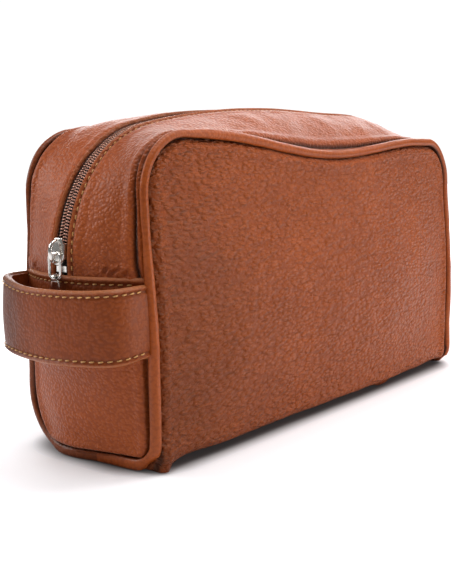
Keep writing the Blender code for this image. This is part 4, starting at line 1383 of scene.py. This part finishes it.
# ================================================================ stage
def white_paper():
    """Matt white paper, glowing softly away from the bag, with a painted shadow close under
    its edge, all round it."""
    mat, tree, shader = new_material("Matt white paper")
    place = object_place(tree)
    grain = cloud(tree, place, 300.0, 2.0)
    tone = ramp(tree, grain, (0.0, (0.91, 0.92, 0.95, 1)), (1.0, (0.94, 0.95, 0.98, 1)))
    away = calc(tree, "LENGTH", place, kind="VectorMath").outputs["Value"]
    glow = node(tree, "MapRange", {"Value": away, "From Min": 0.22, "From Max": 0.75,
                                   "To Min": 0.16, "To Max": 1.1}, interpolation_type="SMOOTHSTEP")
    lift = calc(tree, "MULTIPLY", glow, node(tree, "LightPath").outputs["Is Camera Ray"])
    # painted shadow: the paper darkens, and stops glowing, within a few centimetres of the bag's
    # footprint
    apart = calc(tree, "ABSOLUTE", place, kind="VectorMath")
    beyond = calc(tree, "SUBTRACT", apart, (0.112, 0.015, 0.0), kind="VectorMath")
    outside = calc(tree, "MAXIMUM", beyond, (0, 0, 0), kind="VectorMath")
    gap = calc(tree, "LENGTH", outside, kind="VectorMath").outputs["Value"]
    painted_shadow = node(tree, "MapRange", {"Value": gap, "From Min": 0.020, "From Max": 0.033,
                                   "To Min": 0.10, "To Max": 1.0}, interpolation_type="SMOOTHSTEP")
    paper = mix(tree, painted_shadow.outputs[0], (0.05, 0.03, 0.03, 1), tone)
    glowing = calc(tree, "MULTIPLY", lift, painted_shadow)
    feed(tree, shader, {"Base Color": paper, "Emission Strength": glowing, "Roughness": 0.9,
                        "Emission Color": (1, 0.985, 0.99, 1)})
    return mat


class KITBAG_OT_stage(bpy.types.Operator):
    """White floor, soft light and the camera."""
    bl_idname = "kitbag.stage"
    bl_label = "Stage"

    def execute(self, context):
        scene = context.scene
        deselect()
        bpy.ops.mesh.primitive_plane_add(size=12.0, location=(0, 0, 0))
        floor = bpy.context.object
        floor.name = "floor"
        floor.data.materials.append(white_paper())

        world = bpy.data.worlds.new("Soft white room")
        scene.world = world
        world.use_nodes = True
        tree = world.node_tree
        tree.nodes.clear()
        seen = node(tree, "Background", {"Color": (1, 1, 1, 1), "Strength": 1.05})
        lit = node(tree, "Background", {"Color": (1, 0.985, 0.97, 1), "Strength": 0.19})
        room = node(tree, "MixShader", {0: node(tree, "LightPath").outputs["Is Camera Ray"],
                                        1: lit, 2: seen})
        node(tree, "OutputWorld", {"Surface": room})

        def soft_box(name, place, aim, power, width, height, tint=(1, 1, 1)):
            data = bpy.data.lights.new(name, "AREA")
            data.shape = "RECTANGLE"
            data.size, data.size_y = width, height
            data.energy = power
            data.color = tint
            light = bpy.data.objects.new(name, data)
            light.location = place
            light.rotation_euler = (Vector(aim) - Vector(place)).to_track_quat("-Z", "Y").to_euler()
            scene.collection.objects.link(light)
        soft_box("overhead", (0.0, -0.14, 1.00), (0.0, 0, 0.05), 8.5, 1.0, 0.6, (1, 0.97, 0.96))
        soft_box("key", (0.78, -0.55, 0.80), (0.04, 0, 0.06), 3.0, 0.28, 0.28, (1, 0.98, 0.96))
        soft_box("backdrop", (1.15, 0.95, 0.50), (0.0, 0, 0.12), 27.0, 1.8, 0.9, (1, 0.97, 0.97))
        soft_box("low_fill", (0.45, -0.95, 0.10), (0.03, 0, 0.03), 2.8, 0.5, 0.15)
        soft_box("back_window", (-0.65, 0.95, 0.65), (-0.1, 0, 0.10), 6.5, 0.5, 0.5)

        data = bpy.data.cameras.new("camera")
        data.sensor_fit = "HORIZONTAL"
        data.sensor_width = 36.0
        data.lens = 69.45133
        data.clip_start, data.clip_end = 0.01, 30.0
        camera = bpy.data.objects.new("camera", data)
        heading, pitch, roll = math.radians(39.701), math.radians(7.929), math.radians(-0.589)
        ahead = Vector((math.cos(heading) * math.cos(pitch), math.sin(heading) * math.cos(pitch),
                        -math.sin(pitch)))
        right = Vector((math.sin(heading), -math.cos(heading), 0))
        up = right.cross(ahead)
        right, up = (right * math.cos(roll) + up * math.sin(roll),
                     -right * math.sin(roll) + up * math.cos(roll))
        turn = Matrix((right, up, -ahead)).transposed().to_4x4()
        camera.matrix_world = Matrix.Translation((-0.3696, -0.27347, 0.12032)) @ turn
        scene.collection.objects.link(camera)
        scene.camera = camera
        scene.view_settings.view_transform = "Standard"
        return {"FINISHED"}


# ================================================================ panel and registration
STEPS = (KITBAG_OT_panels, KITBAG_OT_ends, KITBAG_OT_piping, KITBAG_OT_zip, KITBAG_OT_slider,
         KITBAG_OT_handle, KITBAG_OT_stage)


class KITBAG_PT_sidebar(bpy.types.Panel):
    """Sizes, colours and the pieces of the bag."""
    bl_idname = "KITBAG_PT_sidebar"
    bl_label = "Kit Bag"
    bl_space_type = "VIEW_3D"
    bl_region_type = "UI"
    bl_category = "Kit Bag"

    def draw(self, context):
        """Lists every size, every colour and a button for each step."""
        for group in (context.scene.kit_bag_sizes, context.scene.kit_bag_colours):
            box = self.layout.box()
            for key in group.__annotations__:
                box.prop(group, key)
        for step in STEPS:
            self.layout.operator(step.bl_idname)


CLASSES = (KitBagSizes, KitBagColours, *STEPS, KITBAG_PT_sidebar)


def register():
    for cls in CLASSES:
        bpy.utils.register_class(cls)
    bpy.types.Scene.kit_bag_sizes = bpy.props.PointerProperty(type=KitBagSizes)
    bpy.types.Scene.kit_bag_colours = bpy.props.PointerProperty(type=KitBagColours)


def unregister():
    del bpy.types.Scene.kit_bag_colours
    del bpy.types.Scene.kit_bag_sizes
    for cls in reversed(CLASSES):
        bpy.utils.unregister_class(cls)


def main():
    register()
    bpy.ops.kitbag.panels()
    bpy.ops.kitbag.ends()
    bpy.ops.kitbag.piping()
    bpy.ops.kitbag.zip()
    bpy.ops.kitbag.slider()
    bpy.ops.kitbag.handle()
    bpy.ops.kitbag.stage()


if __name__ == "__main__":
    main()
